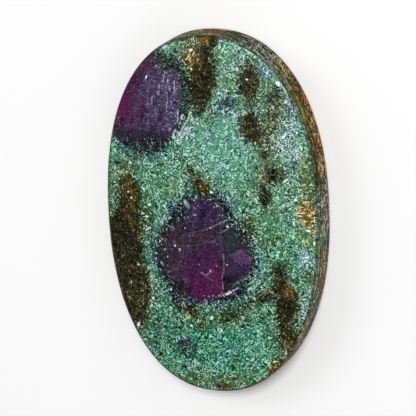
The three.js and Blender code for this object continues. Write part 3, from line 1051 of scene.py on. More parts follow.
# %% Colours of the minerals
# Five even steps each, from the darkest grains of a mineral to its palest.
PALETTES = {
    "fuchsite": "000a03 06441e 40805c 84bc9b c6ecdc",
    "mint": "04382a 1a6850 549a82 88c8b2 ccf2e8",
    "deep": "000c05 003c1c 147050 54ac8a 9ae2ca",
    "teal": "02161a 164a4c 467f82 84bac0 d0f0f4",
    "leaf": "040900 203c0c 4c742e 7ca250 ccdca0",
    "pale": "020c10 1c4044 567e84 a6ced0 f6ffff",
    "dusk": "000402 04140c 14342a 32644c 92c2aa",
    "olive": "010200 0e1a06 2c440f 62783a d4dcb4",
    "navy": "000408 041e2a 285660 74a6ae eefcff",
    "veil": "010500 0e1a0a 344a2a 627e52 cfdcba",
    "stain": "000000 060500 241e00 4e481a ccc6a4",
    "gold": "030200 201800 5c4402 b08818 fff0b4",
    "rim": "000000 060b0c 171f21 424c50 dce8e8",
    "purple": "04020a 201427 43324b 746484 d8ccdf",
    "maroon": "040103 20061a 4a1239 6e3862 cba3c2",
    "magenta": "060106 260a24 4b254b 72426f d8a6d2",
    "glow": "10020c 380a2e 5e1a50 8a4480 e4b0d8",
    "lavender": "06040c 241c30 4f4767 8a84a4 ece8f8",
    "violet": "030206 181022 33254d 60507f c4bcda",
    "orchid": "06040c 241430 50365e 7a5f8e d2bcdc",
    "earth": "030102 1a1013 3c2a33 6a5660 ccbcc0",
    "charcoal": "000000 060a0c 1c2426 444c50 b8c0c4",
    "soot": "000000 0a040a 22102a 42304e a08a9b",
    "wall ash": "060a02 1e2a14 445234 78865c d8dcc4",
    "wall olive": "050501 1e1e0a 444622 6e7044 c8c49a",
    "wall moss": "040400 1e1e02 404008 686a1e bcb46c",
    "wall rust": "070200 301402 663604 a86012 f0b460",
    "wall gold": "080300 341c02 704608 b47c22 f8dea0",
    "wall slate": "010202 10140e 3a4034 848a72 e4e2d2",
}
print(f"{len(PALETTES)} palettes")

# %% The patterns that all the minerals share
EDGE_RAGGED = 0.55  # how far the borders of the minerals wander, in millimetres
FLAKE_SIZE = 0.118
FLAKE_STRETCH = 3.2
FLASH_SHARE = 0.05
ALONG_THE_ROCK = (1.0, 0.35, 1.0)  # the rock is drawn out along its length
ALONG_THE_FIBRES = (1.0, 0.3, 1.0)
# Specks: their spacing and radius in millimetres, and the share of places that have one.
PITS = (0.8, 0.1, 0.22)
GLINTS = (0.42, 0.065, 0.3)
CRUMBS = (0.36, 0.07, 0.3)


class Patterns:
    """Patterns laid down once in the rock's tree. Most run to either side of zero."""

    def __init__(self, tree, place):
        self.tree = tree
        sizes = {"Flake Size": FLAKE_SIZE, "Stretch": FLAKE_STRETCH, "Flash Share": FLASH_SHARE}
        felt = use_group(tree, felt_group, {"Place": place} | sizes)
        self.stroke, self.flash, self.grain = felt["Stroke"], felt["Flash"], felt["Grain"]
        self.tilt = felt["Tilt"]
        self.flakes = self.grain * 0.55 + self.stroke * 0.25
        drawn_out = vector_math(tree, "MULTIPLY", place, ALONG_THE_ROCK)
        fibrous = vector_math(tree, "MULTIPLY", place, ALONG_THE_FIBRES)
        self.cloud = noise(tree, place, 0.35)[0] - 0.5
        self.busy = noise(tree, place, 0.9, detail=1.0)[0] - 0.5
        ragged = noise(tree, place, 1.5, detail=4.0, rough=0.65)[0] - 0.5
        self.ragged = ragged * (EDGE_RAGGED * 2)
        self.streak = noise(tree, drawn_out, 1.9, detail=3.0)[0] - 0.5
        self.silk = noise(tree, drawn_out, 1.6, detail=4.0, rough=0.65)[0] - 0.5
        fibre = noise(tree, fibrous, 2.6, rough=0.6)[0] - 0.5
        thread = (1 - fibre.math("ABSOLUTE") * 16).clamp()
        self.thread = thread * (self.grain * 1.6 + 0.5).clamp()
        self.pit = self.specks(place, *PITS)
        self.glint = self.specks(place, *GLINTS)
        self.crumb = self.specks(drawn_out, *CRUMBS)

    def specks(self, place, spacing, radius, share):
        feeds = {"Place": place, "Spacing": spacing, "Radius": radius, "Share": share}
        return use_group(self.tree, speck_group, feeds)["Mask"]

    def there(self, name, push=1.0, wander=0.5):
        """How much of a mineral the map asks for, with a ragged border."""
        return (attribute(self.tree, name) * push + (self.ragged - 0.15) * wander).clamp()


# %% The green mica
# How much each scale of the pattern lightens and darkens the mica.
STROKE_SHARE = 0.52
GRAIN_SHARE = 0.36
CLOUD_SHARE = 0.16
# Most flakes are near the middle tone, and a few are far from it.
NEAR_SHARE = 0.08
FAR_PUSH = 2.2


def green_mica(tree, p):
    """Colour and tone: mint, deep, blue, yellow-green, pale or dusky where the map says."""
    mint, pale = p.there("mint"), p.there("pale")
    veil = (attribute(tree, "veil") + p.cloud * 0.5 + p.ragged * 0.4 - 0.08).clamp()
    calm = mint * 0.22 + veil * 0.18 + p.there("blue") * 0.15 + p.there("leaf") * 0.14
    tone = p.stroke * STROKE_SHARE + p.grain * GRAIN_SHARE
    tone = tone * (tone.math("ABSOLUTE") * FAR_PUSH + NEAR_SHARE)
    lively = (p.busy * 3.0 + p.cloud + 0.6).clamp() * 1.15 + 0.42 - calm + pale * 0.4
    tone = tone * lively + p.cloud * CLOUD_SHARE + 0.5
    # Flakes that flash are lifted in tone: a painted glint.
    tone = (tone + p.flash * 0.16 - p.pit * (0.9 - calm)).clamp()
    low_tone = (tone - 0.1).clamp()
    blue = (p.there("blue", 1.1) + p.cloud * 1.2 + p.busy * 0.7 - 0.04).clamp()
    leaf = (p.there("leaf") - p.cloud * 1.5 - p.busy * 0.6 - 0.05).clamp()
    coats = [
        # The mint and deep coats are partly painted light and shade: lighter in the middle and
        # upper face, darker at its lower end.
        ("mint", mint, tone),
        ("deep", p.there("deep"), tone),
        ("teal", blue * 0.85, tone),
        ("navy", p.there("navy") * 0.9, low_tone),
        ("leaf", leaf * 0.8, tone),
        # The pale coat is partly a painted sheen along the right side of the face.
        ("pale", pale * 0.8, tone),
        ("dusk", p.there("shade", 1.1) * 0.85, low_tone),
        ("veil", veil * 0.88, tone),
    ]
    return paint(tree, ramp(tree, tone, "fuchsite"), coats), tone


# %% Iron stains and dark rims
def iron_stains(tree, p, colour, tone):
    """Stains creep in flake by flake, so their border is a scatter of stained flakes.

    The fringe is olive and the stain olive brown, with gold where the mica shines through.
    """
    depth = attribute(tree, "stain") + p.ragged * 0.7 + p.streak * 0.3
    smudge = attribute(tree, "smudge") * 1.6 - 1.3 + p.ragged * 0.7 + p.streak * 0.6
    deepest = depth.math("MAXIMUM", smudge) - p.flakes * 0.5
    stain = (deepest / 0.7 + 0.5).clamp()
    fringe = (deepest + 0.85).clamp()
    gold = (attribute(tree, "gold") * 1.1 + p.ragged * 0.5 + p.streak - 0.2).clamp()
    stained = p.grain * 0.36 + p.stroke * 0.22 + p.streak * 0.35 + p.cloud * 0.25
    stained = (stained + p.crumb * 0.35 + p.glint * 0.45 + 0.4).clamp()
    shining = [("gold", gold * 0.85, (stained + 0.16).clamp())]
    rusty = paint(tree, ramp(tree, stained, "stain"), shining)
    colour = paint(tree, colour, [("olive", fringe * 0.7, (tone - 0.1).clamp())])
    colour = layer(tree, stain * 0.95, colour, rusty)
    gilt_tone = ((tone - 0.5) * 1.3 + 0.54).clamp()
    return paint(tree, colour, [("gold", gold * (1 - stain) * 0.92, gilt_tone)]), stain


def dark_rims(tree, p, colour, tone, stain):
    """The dark rim round each crystal, which starts as a teal haze in the mica."""
    depth, shade = attribute(tree, "rim") + p.ragged, attribute(tree, "shade")
    haze = ((depth - p.flakes * 0.4 + 0.8) / 1.1).clamp() * (1 - (shade + stain).clamp())
    rim = ((depth - p.flakes * 0.7 + 0.15) / 0.8).clamp()
    rim_tone = (p.grain * 0.5 + p.stroke * 0.34 + p.glint * 0.5 + p.crumb * 0.25 + 0.39).clamp()
    coats = [
        ("teal", haze * 0.55, (tone - 0.12).clamp()),
        ("rim", rim * 0.97, rim_tone),
        ("dusk", (shade * rim).clamp() * 0.7, rim_tone),
    ]
    return paint(tree, colour, coats), rim


# %% The crystals
CRYSTAL_TONE = 0.42  # the middle tone of the crystals, about which they are even or lively
SOFT_ZONES = ("violet", "earth", "lavender", "maroon", "glow")


def crystal_colour(tree, p):
    """Fine-grained corundum, with soft zones and a few sharp ones."""

    def zone(name, softness):
        return attribute(tree, name) / softness + 0.5

    lavender, glow = p.there("lavender", 1.0, 0.4), p.there("glow", 1.0, 0.2)
    facet = (zone("facet", 0.35) + p.ragged * 0.6).clamp()
    block = zone("block", 0.08).clamp()
    tone = p.silk * 0.5 + p.grain * 0.36 + p.stroke * 0.15 + 0.43
    tone = tone + p.thread * (lavender * 0.24 + 0.03) + p.glint * (lavender * 0.3 + 0.06)
    even = (1 - glow * 0.6) * (1 - (facet * 0.6 + block * 2).clamp() * 0.35)
    tone = (tone.clamp() - CRYSTAL_TONE) * even + CRYSTAL_TONE
    coats = [("magenta", facet * 0.9, tone)]
    coats += [(name, p.there(name, 1.0, 0.25), tone) for name in SOFT_ZONES]
    coats += [
        ("charcoal", block * 0.88, (tone + 0.1).clamp()),
        ("orchid", zone("under_wedge", 0.3).clamp() * 0.85, (tone - 0.08).clamp()),
        ("orchid", zone("wedge", 0.06).clamp() * 0.95, (tone + 0.08).clamp()),
    ]
    gem = paint(tree, ramp(tree, tone, "purple"), coats)
    sooty = [("soot", (block * 1.5 + facet).clamp(), tone)]
    soot = paint(tree, ramp(tree, tone, "charcoal"), sooty)
    return layer(tree, p.there("charcoal", 1.0, 0.35) * 0.92, gem, soot)


# %% Group: the whole rock
def ruby_in_fuchsite(tree, place):
    p = Patterns(tree, place)
    colour, tone = green_mica(tree, p)
    colour, stain = iron_stains(tree, p, colour, tone)
    colour, rim = dark_rims(tree, p, colour, tone, stain)
    depth = attribute(tree, "crystal") + p.ragged * 0.5 - p.flakes * 0.35
    crystal = ((depth + 0.15) / 0.6).clamp()
    return {
        "Colour": layer(tree, crystal, colour, crystal_colour(tree, p)),
        "Crystal": crystal,
        "Dull": stain.math("MAXIMUM", rim) * (1 - crystal),
        "Tilt": p.tilt,
        "Height": tone * (1 - crystal * 0.8),
    }


rock_group = make_group(
    "Ruby in fuchsite",
    {"Place": "Vector"},
    {"Colour": "Color", "Crystal": "Float", "Dull": "Float", "Tilt": "Vector", "Height": "Float"},
    ruby_in_fuchsite,
)

# %% [markdown]
# ## The marks on the face
#
# A few cracks and flecks are so plain to the eye that they are worth placing one by one.
# A crack in corundum shows as a pale line with a dark line beside it. The flecks are larger
# mica flakes that lie flat and shine, and their shine is painted into their pale colour as a
# highlight; the dark spots are holes where one fell out. The lavender-white pieces along the
# lower edge of the lower crystal are a painted glint.
#
# Each small face of the mesh stores the mark that is nearest to it: where it is, how large,
# and its colour. The material then works out the exact line or oval from those numbers, so
# the marks stay sharp at any size. Marks that cross lie in different layers.

# %% Cracks and flecks
# Each line: from x, y, to x, y, width, colour.
LINES = {
    "dark_lines": [
        (2.9, 0.15, 1.5, -0.15, 0.07, "0b1012"), (1.5, -0.15, 0.2, -0.9, 0.06, "0d0b10"),
        (0.2, -0.9, -1.5, -1.5, 0.06, "0d0b10"), (-1.5, -1.5, -2.6, -1.75, 0.05, "15101a"),
        (-2.4, -3.2, -0.9, -2.95, 0.05, "120d12"), (-0.9, -2.95, 0.5, -2.5, 0.04, "1a1019"),
        (1.72, -6.8, 1.66, -8.6, 0.08, "080408"), (10.6, 7.2, 10.5, 6.6, 0.06, "0e3038"),
        (6.6, -6.1, 7.5, -6.3, 0.06, "122219"),
    ],
    "pale_lines": [
        (2.9, -0.03, 1.6, -0.3, 0.06, "8aa39b"), (1.6, -0.3, 0.9, -0.75, 0.05, "74857f"),
        (0.9, -0.75, 0.1, -1.15, 0.05, "8c8f80"), (0.1, -1.15, -1.5, -1.68, 0.035, "6f6655"),
        (-1.5, -1.68, -3.1, -2.1, 0.035, "5f5648"), (1.5, -1.65, 2.3, -1.12, 0.04, "7d9089"),
        (2.3, -1.12, 3.2, -0.5, 0.04, "6c827c"), (-3.5, -3.55, -1.0, -3.1, 0.035, "6d6a60"),
        (-1.0, -3.1, 0.7, -2.6, 0.035, "67575f"), (1.72, -4.1, 1.62, -6.3, 0.045, "9c7c93"),
        (1.62, -6.3, 1.35, -7.1, 0.05, "a57c98"), (1.35, -7.1, 1.5, -8.3, 0.05, "b48aa8"),
        (-1.1, -6.5, -0.6, -6.8, 0.05, "b77fa8"), (-0.6, -6.8, -0.1, -6.5, 0.05, "b77fa8"),
        (-0.1, -6.5, 0.4, -6.2, 0.04, "a8709a"), (-0.6, -6.9, 0.4, -7.4, 0.035, "8f5a84"),
        (0.4, -7.4, 1.2, -8.3, 0.035, "8f5a84"), (2.9, -4.9, 3.9, -5.35, 0.03, "6f6085"),
        (2.6, -7.95, 3.2, -7.42, 0.05, "7f8a80"), (3.2, -7.42, 3.95, -7.05, 0.045, "868b78"),
        # The lavender-white pieces from (0.9, -9.15) to (3.3, -8.05) are a painted glint on the
        # lower crystal's edge.
        (3.95, -7.05, 5.3, -5.8, 0.05, "5d7f72"), (0.9, -9.15, 1.5, -9.03, 0.07, "b8a8d0"),
        (1.75, -8.95, 2.3, -8.65, 0.1, "e6def4"), (2.5, -8.52, 2.8, -8.33, 0.08, "b9add6"),
        (2.95, -8.25, 3.3, -8.05, 0.09, "8f82b8"), (2.5, -9.0, 3.0, -8.75, 0.05, "9a8fc0"),
        (-3.4, 9.2, -2.7, 10.5, 0.07, "d4ece2"),
        (-2.7, 10.5, -1.8, 12.2, 0.07, "bfe0d0"), (-4.1, 9.2, -3.7, 10.0, 0.08, "dcd6e6"),
        (-3.6, 9.2, -3.1, 9.9, 0.07, "c9d8d4"), (-2.2, 9.6, -1.6, 10.6, 0.05, "a8d8c2"),
        (-3.7, 14.4, -3.75, 15.8, 0.05, "c0bad2"), (-5.7, 14.0, -5.6, 15.2, 0.045, "aaa4c0"),
        (-4.7, 12.5, -4.6, 13.9, 0.045, "b4aeca"), (-6.6, 13.0, -6.5, 13.8, 0.045, "a49cba"),
        (-3.4, 11.0, -3.3, 12.5, 0.05, "c4c6d6"), (-5.1, 15.5, -5.0, 16.5, 0.045, "a8a2be"),
        (-6.1, 11.3, -6.0, 12.2, 0.04, "9a92b0"), (-4.1, 12.6, -4.1, 13.4, 0.04, "a8a2be"),
        (-3.2, 8.9, -2.5, 9.7, 0.06, "c4e4d8"), (-2.9, 9.4, -2.2, 10.6, 0.05, "d8f0e8"),
        (-2.5, 9.0, -1.9, 9.8, 0.05, "b4dccb"), (-2.4, 10.9, -1.9, 11.7, 0.06, "d8f0e8"),
        (-1.6, 10.6, -1.5, 11.6, 0.05, "a8d8c2"), (10.45, 8.3, 10.6, 7.2, 0.08, "dfeef0"),
    ],
}
# Each oval: x, y, half across, half along, turn in degrees, colour.
OVALS = {
    "rings": [
        (-2.7, 11.7, 0.5, 0.5, 0, "07100f"), (-2.62, 1.5, 0.42, 0.85, 32, "080b0b"),
        (-3.6, 19.15, 0.55, 0.5, 0, "6f9c86"), (-7.25, 15.95, 0.26, 0.36, 10, "1b1220"),
    ],
    "flecks": [
        (-2.75, 11.65, 0.28, 0.32, 0, "c3d3d6"), (-2.62, 1.52, 0.26, 0.62, 32, "7d9494"),
        (-3.6, 19.15, 0.36, 0.34, 0, "13201c"), (-7.25, 15.97, 0.12, 0.24, -20, "f0e4f4"),
        (-6.0, 17.25, 0.14, 0.1, 30, "a896bd"), (-5.0, 19.5, 0.3, 0.2, 20, "c9dccb"),
        (-1.75, 19.3, 0.2, 0.12, 25, "e0f2e6"), (-1.65, 17.15, 0.12, 0.12, 0, "d7ead9"),
        (4.9, 16.2, 0.16, 0.1, -25, "f7f1e2"), (10.3, 2.5, 0.19, 0.15, 0, "ffffff"),
        (10.02, -0.1, 0.09, 0.2, -10, "fff4f6"), (10.1, 0.25, 0.08, 0.14, 0, "f2d9e2"),
        (11.65, -1.1, 0.3, 0.12, -6, "ffffff"), (12.2, -2.55, 0.14, 0.2, 0, "f2e8c9"),
        (-4.25, -3.5, 0.09, 0.13, -20, "d2c8da"), (-3.65, -3.92, 0.14, 0.19, 0, "9ba89a"),
        (-5.55, -4.05, 0.12, 0.09, 0, "b9a9b2"), (-5.2, -4.9, 0.09, 0.16, 0, "8f9b94"),
        (-5.0, -8.8, 0.1, 0.15, 0, "dde4dc"), (-4.7, -0.25, 0.14, 0.09, 0, "c6cfcc"),
        (-2.9, -1.35, 0.1, 0.09, 0, "b3a3bd"), (0.0, -6.2, 0.1, 0.1, 0, "dccbd9"),
        (2.32, -0.85, 0.14, 0.11, 0, "dbe6df"), (0.2, -1.1, 0.12, 0.08, 10, "b9bcb4"),
        (-1.65, 0.3, 0.22, 0.12, 0, "8b8cb4"), (2.1, -5.4, 0.12, 0.1, 0, "b9a9ba"),
        (-1.3, -5.55, 0.1, 0.1, 0, "a98aa8"), (0.8, -5.6, 0.1, 0.08, 0, "b893ae"),
        (0.8, 1.4, 0.09, 0.09, 0, "8d89a6"), (-1.2, 1.35, 0.14, 0.07, 20, "7b7d94"),
        (0.45, 3.05, 0.16, 0.12, 0, "e6f4ee"), (-7.6, -1.8, 0.4, 0.1, 25, "d9eadf"),
        (-7.75, -1.5, 0.08, 0.22, 15, "c2dccf"), (-7.7, -0.3, 0.18, 0.14, 0, "e6f2ea"),
        (-7.3, 1.1, 0.2, 0.16, 0, "cdeee0"), (-7.3, -10.1, 0.22, 0.16, 0, "e4f4ea"),
        (-9.55, -13.5, 0.14, 0.34, -25, "d7eadb"), (-9.95, 2.4, 0.12, 0.1, 0, "efe6d4"),
        (-9.6, 1.75, 0.1, 0.13, 0, "f6f2ea"), (-0.15, -11.9, 0.26, 0.2, 30, "c4ecdf"),
        (-2.65, -13.0, 0.16, 0.14, 0, "d4f0e4"), (-10.1, -8.4, 0.1, 0.2, 10, "c9ccc4"),
        (-9.0, -6.15, 0.2, 0.12, 0, "c6c8bc"), (-5.85, -16.7, 0.14, 0.12, 0, "d9eee2"),
        (-10.45, 10.85, 0.24, 0.2, 0, "1c1a14"), (-10.6, 9.9, 0.14, 0.14, 0, "2a2026"),
        (-10.6, 8.5, 0.09, 0.34, 0, "50505e"), (-9.8, 8.6, 0.08, 0.3, 10, "5a5a68"),
        (-8.5, 8.1, 0.09, 0.3, 0, "565866"), (-5.6, 8.4, 0.08, 0.34, -10, "5c6070"),
        # From here to (0.55, -9.35): the same painted glint on the lower crystal's edge, as thick
        # pieces and specks.
        (1.95, -8.93, 0.17, 0.1, 25, "e6def4"), (2.35, -8.68, 0.14, 0.11, 25, "f2ecfa"),
        (2.7, -8.45, 0.15, 0.1, 30, "b9add6"), (3.05, -8.25, 0.17, 0.12, 30, "9a8cc4"),
        (2.85, -8.75, 0.12, 0.08, 0, "6f5fa8"), (-0.9, -9.25, 0.16, 0.06, 10, "8f7ab0"),
        (-0.3, -9.3, 0.12, 0.06, 0, "a48fc4"),
        (0.2, -9.2, 0.1, 0.07, 0, "c4b2de"), (0.55, -9.35, 0.1, 0.06, 20, "8a76b2"),
        (3.95, 19.15, 0.15, 0.13, 0, "06170d"), (5.95, 6.1, 0.24, 0.14, -10, "0a1b17"),
        (1.0, -11.3, 0.22, 0.12, 0, "0a1006"), (1.8, -12.05, 0.45, 0.2, 8, "0c100a"),
        (2.6, -11.5, 0.4, 0.12, 8, "2a1c08"), (4.2, -12.5, 0.2, 0.1, -10, "0a1810"),
        (-1.0, -14.35, 0.2, 0.12, 0, "08160e"), (-3.95, -18.2, 0.34, 0.2, -22, "080b05"),
        (-7.1, -10.1, 0.34, 0.12, 0, "07130c"), (-5.55, 6.0, 0.28, 0.13, 10, "0f2418"),
        (-11.3, 5.7, 0.24, 0.32, 20, "0c1810"), (-6.4, 1.0, 0.12, 0.34, 0, "08160f"),
        (7.25, -3.55, 0.13, 0.24, 0, "08140f"), (2.4, -16.35, 0.24, 0.12, 0, "0a1a12"),
        (-7.4, -14.8, 0.18, 0.2, 0, "0a1a12"), (-7.3, -15.6, 0.14, 0.24, 10, "0c1c13"),
        (-6.9, -16.9, 0.2, 0.26, 20, "0a1a11"), (-3.4, -20.25, 0.34, 0.13, -8, "14180a"),
        (8.1, 13.5, 0.16, 0.1, 0, "0c1810"), (4.6, -9.7, 0.3, 0.14, 25, "0a0c06"),
        (-4.5, -14.5, 0.3, 0.06, 30, "a7cdd6"), (-3.5, -14.6, 0.26, 0.06, -30, "8fb6c6"),
        (-3.1, -15.2, 0.3, 0.14, -15, "3c5c74"), (11.5, -8.2, 0.2, 0.24, 0, "8fc0bd"),
        (8.5, 15.75, 0.34, 0.2, -40, "dff6ea"),
    ],
    "pupils": [
        (-2.68, 11.6, 0.13, 0.18, 0, "1a2629"), (-2.8, 1.75, 0.09, 0.2, 32, "c4d4d2"),
        (-2.45, 1.25, 0.07, 0.16, 32, "4f6667"), (-3.5, 19.25, 0.12, 0.13, 0, "7f9aa0"),
        (-3.15, -15.4, 0.12, 0.13, 0, "101c2c"),
    ],
}


# %% The nearest mark, stored on each face
def store_marks(mesh):
    x, y, z = places_in_mm(mesh.polygons, "center")
    shows = (z > FACE_STARTS).astype(float)
    for name, marks in (LINES | OVALS).items():
        numbers = np.array([mark[:5] for mark in marks]).T[:, :, None]
        paints = np.array([hex_colour(mark[5]) for mark in marks])
        if name in LINES:
            nearest = gap_to_line(x, y, *numbers[:4]).argmin(0)
            x0, y0, x1, y1, width = numbers[:, nearest, 0]
            vectors = {"_from": (x0, y0, width), "_to": (x1, y1, shows)}
        else:
            nearest = ring_round(x, y, *numbers).argmin(0)
            middle_x, middle_y, half_x, half_y, turn = numbers[:, nearest, 0]
            where = (middle_x, middle_y, np.radians(turn))
            vectors = {"_where": where, "_size": (half_x, half_y, shows)}
        for ending, values in vectors.items():
            store(mesh, name + ending, "FLOAT_VECTOR", "FACE", values)
        store(mesh, name + "_colour", "FLOAT_COLOR", "FACE", paints[nearest].T)
        print(f"  {name:11} {len(marks)}")


print("marks:")
store_marks(stone.data)

# %% Group: the marks laid over the rock's colour
MARK_WANDER = 0.3  # how far the marks bend, in millimetres


def face_marks(tree, place, colour):
    bends = noise(tree, place, 2.2, detail=3.0, rough=0.6)[1]
    wandering = vector_math(tree, "ADD", place, centred(tree, bends, MARK_WANDER))
    chips = noise(tree, place, 5.0, rough=0.6)[0] - 0.5
    worn = (chips * 6.0 + 0.7).clamp()
    for name in (*LINES, *OVALS):
        is_line = name in LINES
        labels = ("From", "To") if is_line else ("Where", "Size")
        feeds = {label: attribute(tree, f"{name}_{label.lower()}", "Vector") for label in labels}
        feeds["Place"] = wandering
        if is_line:
            mask = use_group(tree, seam_group, feeds)["Mask"] * worn
        else:
            mask = use_group(tree, oval_group, feeds | {"Ragged": chips * 1.2})["Mask"]
        colour = layer(tree, mask, colour, attribute(tree, name + "_colour", "Color"))
    return {"Colour": colour}


marks_group = make_group(
    "Marks", {"Place": "Vector", "Under": "Color"}, {"Colour": "Color"}, face_marks
)

# %% [markdown]
# ## The finishes
#
# All four finishes show the same rock. The face has a full polish, and each flake under it
# leans its own way. The shoulder is softer, and a dark band of painted shade runs round it,
# with a pale painted highlight along parts of the polished edge. The wall was ground round
# the stone and stained from outside, so it has colours of its own, in layers. The back was
# only lapped, which leaves fine scratches.

# %% Helpers for the finishes
STONE_IOR = 1.57
FACE_ROUGHNESS = 0.22
FACE_SHINE = 0.24  # the specular level of the shader, where 0.5 is a plain gloss
SHOULDER_SHINE = 0.1
WALL_ROUGHNESS = 0.45
WALL_SHINE = 0.02
BACK_ROUGHNESS = 0.5
BACK_SHINE = 0.35


def paint_finish(name, formula):
    """Fills a finish's material. The shader gets what the formula makes of the rock."""
    material = finishes[name]
    material.use_nodes = True
    tree = material.node_tree
    tree.nodes.clear()
    on_stone = tree.nodes.new("ShaderNodeTexCoord").outputs["Object"]
    place = vector_math(tree, "SCALE", on_stone, 1 / MM)
    rock = use_group(tree, rock_group, {"Place": place})
    look = {"IOR": STONE_IOR} | formula(tree, place, rock)
    shader = add_node(tree, "ShaderNodeBsdfPrincipled", look)
    add_node(tree, "ShaderNodeOutputMaterial", {"Surface": shader.outputs[0]})
    print(f"{name}: {len(tree.nodes)} nodes")


def flaky_normal(tree, tilt, amount, height, depth):
    """The surface's normal, leaned another way for each flake, and then bumped."""
    normal = tree.nodes.new("ShaderNodeNewGeometry").outputs["Normal"]
    lean = vector_math(tree, "SCALE", tilt, amount)
    leaned = vector_math(tree, "NORMALIZE", vector_math(tree, "ADD", normal, lean))
    feeds = {"Strength": 1.0, "Distance": depth, "Height": height, "Normal": leaned}
    return add_node(tree, "ShaderNodeBump", feeds).outputs[0]


# %% The polished face and the rounded shoulder
SHADED_EDGE_INSET = 0.34  # painted shade darkens the face's edge out from here, in millimetres in from the wall
PAINTED_HIGHLIGHT_INSETS = (0.2, 0.46)  # and a pale highlight is painted on the polished edge between these
SHADED_EDGE_COLOUR = hex_colour("332b14")
PAINTED_HIGHLIGHT_COLOUR = hex_colour("cfe8da")


def polished_look(tree, place, rock):
    marked = use_group(tree, marks_group, {"Place": place, "Under": rock["Colour"]})
    inset = attribute(tree, "inset")
    # Painted shade: a dark brown band round the edge of the face, where it turns down to the wall.
    shaded_edge = ((SHADED_EDGE_INSET - inset) / 0.1).clamp()
    # Painted highlight: a pale band along the polished edge, where the map asks for it.
    inner, outer = PAINTED_HIGHLIGHT_INSETS
    catches = ((inset - inner) / 0.08).clamp() * ((outer - inset) / 0.08).clamp()
    painted_highlight = catches * attribute(tree, "painted_highlight") * (rock["Height"] * 2 - 0.3).clamp()
    colour = layer(tree, shaded_edge * 0.65, marked["Colour"], SHADED_EDGE_COLOUR)
    crystal, dull = rock["Crystal"], rock["Dull"]
    amount = 0.35 - crystal * 0.25 - dull * 0.33
    return {
        "Base Color": layer(tree, painted_highlight * 0.85, colour, PAINTED_HIGHLIGHT_COLOUR),
        "Roughness": FACE_ROUGHNESS - (crystal + dull) * 0.04,
        "Specular IOR Level": FACE_SHINE,
        "Normal": flaky_normal(tree, rock["Tilt"], amount, rock["Height"], 0.02 * MM),
    }


def shoulder_look(tree, place, rock):
    return polished_look(tree, place, rock) | {"Specular IOR Level": SHOULDER_SHINE}


paint_finish("polished_face", polished_look)
paint_finish("rounded_shoulder", shoulder_look)

# %% The ground wall
# The saw and the wheel ran round the stone, so everything here is drawn out sideways.
WALL_LAYERS = (0.5, 0.5, 3.2)
WALL_FLAKES = {"Flake Size": 0.24, "Stretch": 1.8, "Flash Share": 0.12}
ROUGH_HALF_STARTS = 2.4  # the rough lower half ends about this high, in millimetres
FOOT_HEIGHT = 0.4
FOOT_COLOUR = hex_colour("2c1c06")


def wall_look(tree, place, rock):
    layered = vector_math(tree, "MULTIPLY", place, WALL_LAYERS)
    fine = vector_math(tree, "MULTIPLY", place, (1, 1, 1.8))
    felt = use_group(tree, felt_group, {"Place": fine} | WALL_FLAKES)
    stroke, flash, grain = felt["Stroke"], felt["Flash"], felt["Grain"]
    up = parts_of(tree, place)[2]
    streak = noise(tree, layered, 0.9, detail=5.0, rough=0.65)[0] - 0.5
    wave = noise(tree, place, 0.6, detail=4.0)[0] - 0.5
    lower = ((ROUGH_HALF_STARTS - up + wave * 3.0 + grain * 0.4) / 0.7).clamp()
    smooth_tone = (streak * 2.9 + grain * 0.5 + stroke * 0.3 + 0.41).clamp()
    rough_tone = (streak * 1.8 + grain * 0.8 + stroke * 0.7 + 0.3).clamp()
    # Flash lifts the bead tone a little: a painted glint.
    bead_tone = (grain * 1.1 + stroke * 1.4 + flash * 0.3 + 0.31).clamp()
    broken = (streak - 0.1) * 1.2 + wave * 1.4 + grain * 0.5

    def share(name, push=1.2, keep=1.0):
        """How much of a mineral the map asks for; its border breaks up grain by grain."""
        return (attribute(tree, name) * push + broken * keep).clamp()

    slate = share("slate", 1.0, 1.1)
    coats = [
        ("wall olive", share("olive"), smooth_tone),
        ("wall moss", share("moss"), smooth_tone),
        ("wall slate", slate * 0.9, rough_tone),
        ("wall rust", share("rust") * (lower * 0.9 + 0.1), rough_tone),
    ]
    colour = paint(tree, ramp(tree, smooth_tone, "wall ash"), coats)
    beads = share("beads", 1.1, 1.1) * lower
    beaded = paint(tree, ramp(tree, bead_tone, "wall gold"), [("wall slate", slate, bead_tone)])
    colour = layer(tree, beads, colour, beaded)
    foot = ((FOOT_HEIGHT - up + streak * 0.9) / 0.3).clamp()
    colour = layer(tree, foot * 0.85, colour, FOOT_COLOUR)
    relief = smooth_tone * 0.4 + bead_tone * beads
    return {
        "Base Color": layer(tree, rock["Crystal"] * 0.8, colour, rock["Colour"]),
        "Roughness": WALL_ROUGHNESS,
        "Specular IOR Level": WALL_SHINE,
        "Normal": flaky_normal(tree, felt["Tilt"], 0.2, relief, 0.05 * MM),
    }


paint_finish("ground_wall", wall_look)

# %% The lapped back
SCRATCHES = (9.0, 0.6, 1.0)
LAPPED_COLOUR = hex_colour("6c8478")


def back_look(tree, place, rock):
    scratched = vector_math(tree, "MULTIPLY", place, SCRATCHES)
    scratch = noise(tree, scratched, 1.0, detail=3.0)[0]
    return {
        "Base Color": layer(tree, 0.2, rock["Colour"], LAPPED_COLOUR),
        "Roughness": BACK_ROUGHNESS + scratch * 0.25,
        "Specular IOR Level": BACK_SHINE,
        "Normal": flaky_normal(tree, rock["Tilt"], 0.15, scratch, 0.01 * MM),
    }


paint_finish("lapped_back", back_look)

# %% [markdown]
# ## Light and floor
#
# A wide soft light stands above the stone's upper right, and a weaker one fills from the
# left. The light that comes from all round has one dark place in it: a black card, hung
# where the polished face would mirror it towards the camera, which keeps the colours deep.

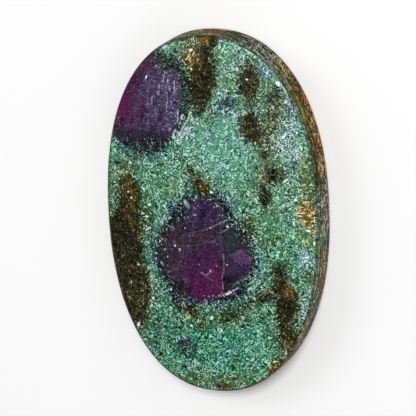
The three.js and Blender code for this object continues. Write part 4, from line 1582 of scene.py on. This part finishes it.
# %% Floor, lights and surroundings
FLOOR_SIZE = 2.0
FLOOR_COLOUR = (0.97, 0.97, 0.97, 1)
FLOOR_ROUGHNESS = 0.9
AROUND_LIGHT = 0.5
CARD_DIRECTION = (-0.34, -0.25, 0.91)
CARD_DARKNESS = 0.9
CARD_EDGE = 0.72  # the cosine of the angle at which the card's soft edge starts
CARD_SOFTNESS = 0.16
# Each light: direction, distance, size and watts.
LIGHTS = {
    "key": ((0.22, 0.34, 1.0), 0.5, 0.2, 1.6),
    "fill": ((-0.9, 0.5, 0.9), 0.6, 0.3, 0.5),
}


def make_floor():
    bpy.ops.mesh.primitive_plane_add(size=FLOOR_SIZE)
    floor = bpy.context.object
    floor.name = "floor"
    material = bpy.data.materials.new("pale_paper")
    material.use_nodes = True
    shader = material.node_tree.nodes["Principled BSDF"]
    shader.inputs["Base Color"].default_value = FLOOR_COLOUR
    shader.inputs["Roughness"].default_value = FLOOR_ROUGHNESS
    floor.data.materials.append(material)


def make_surroundings():
    world = bpy.data.worlds.new("studio")
    bpy.context.scene.world = world
    world.use_nodes = True
    tree = world.node_tree
    background = tree.nodes["Background"]
    background.inputs["Color"].default_value = (1, 1, 1, 1)
    direction = tree.nodes.new("ShaderNodeTexCoord").outputs["Generated"]
    facing = vector_math(tree, "DOT_PRODUCT", direction, CARD_DIRECTION)
    card = ((facing - CARD_EDGE) / CARD_SOFTNESS).clamp()
    connect(tree, (1 - card * CARD_DARKNESS) * AROUND_LIGHT, background.inputs["Strength"])


def soft_light(name, direction, distance, size, watts):
    data = bpy.data.lights.new(name, "AREA")
    data.shape = "DISK"
    data.size = size
    data.energy = watts
    light = bpy.data.objects.new(name, data)
    bpy.context.scene.collection.objects.link(light)
    light.location = Vector(direction).normalized() * distance
    light.rotation_euler = Vector(direction).to_track_quat("Z", "Y").to_euler()


make_floor()
make_surroundings()
for name, numbers in LIGHTS.items():
    soft_light(name, *numbers)
bpy.context.scene.view_settings.view_transform = "Standard"
print(f"lights: {', '.join(LIGHTS)}")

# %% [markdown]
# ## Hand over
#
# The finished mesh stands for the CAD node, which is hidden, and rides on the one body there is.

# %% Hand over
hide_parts(NODE)
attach(stone, "root")
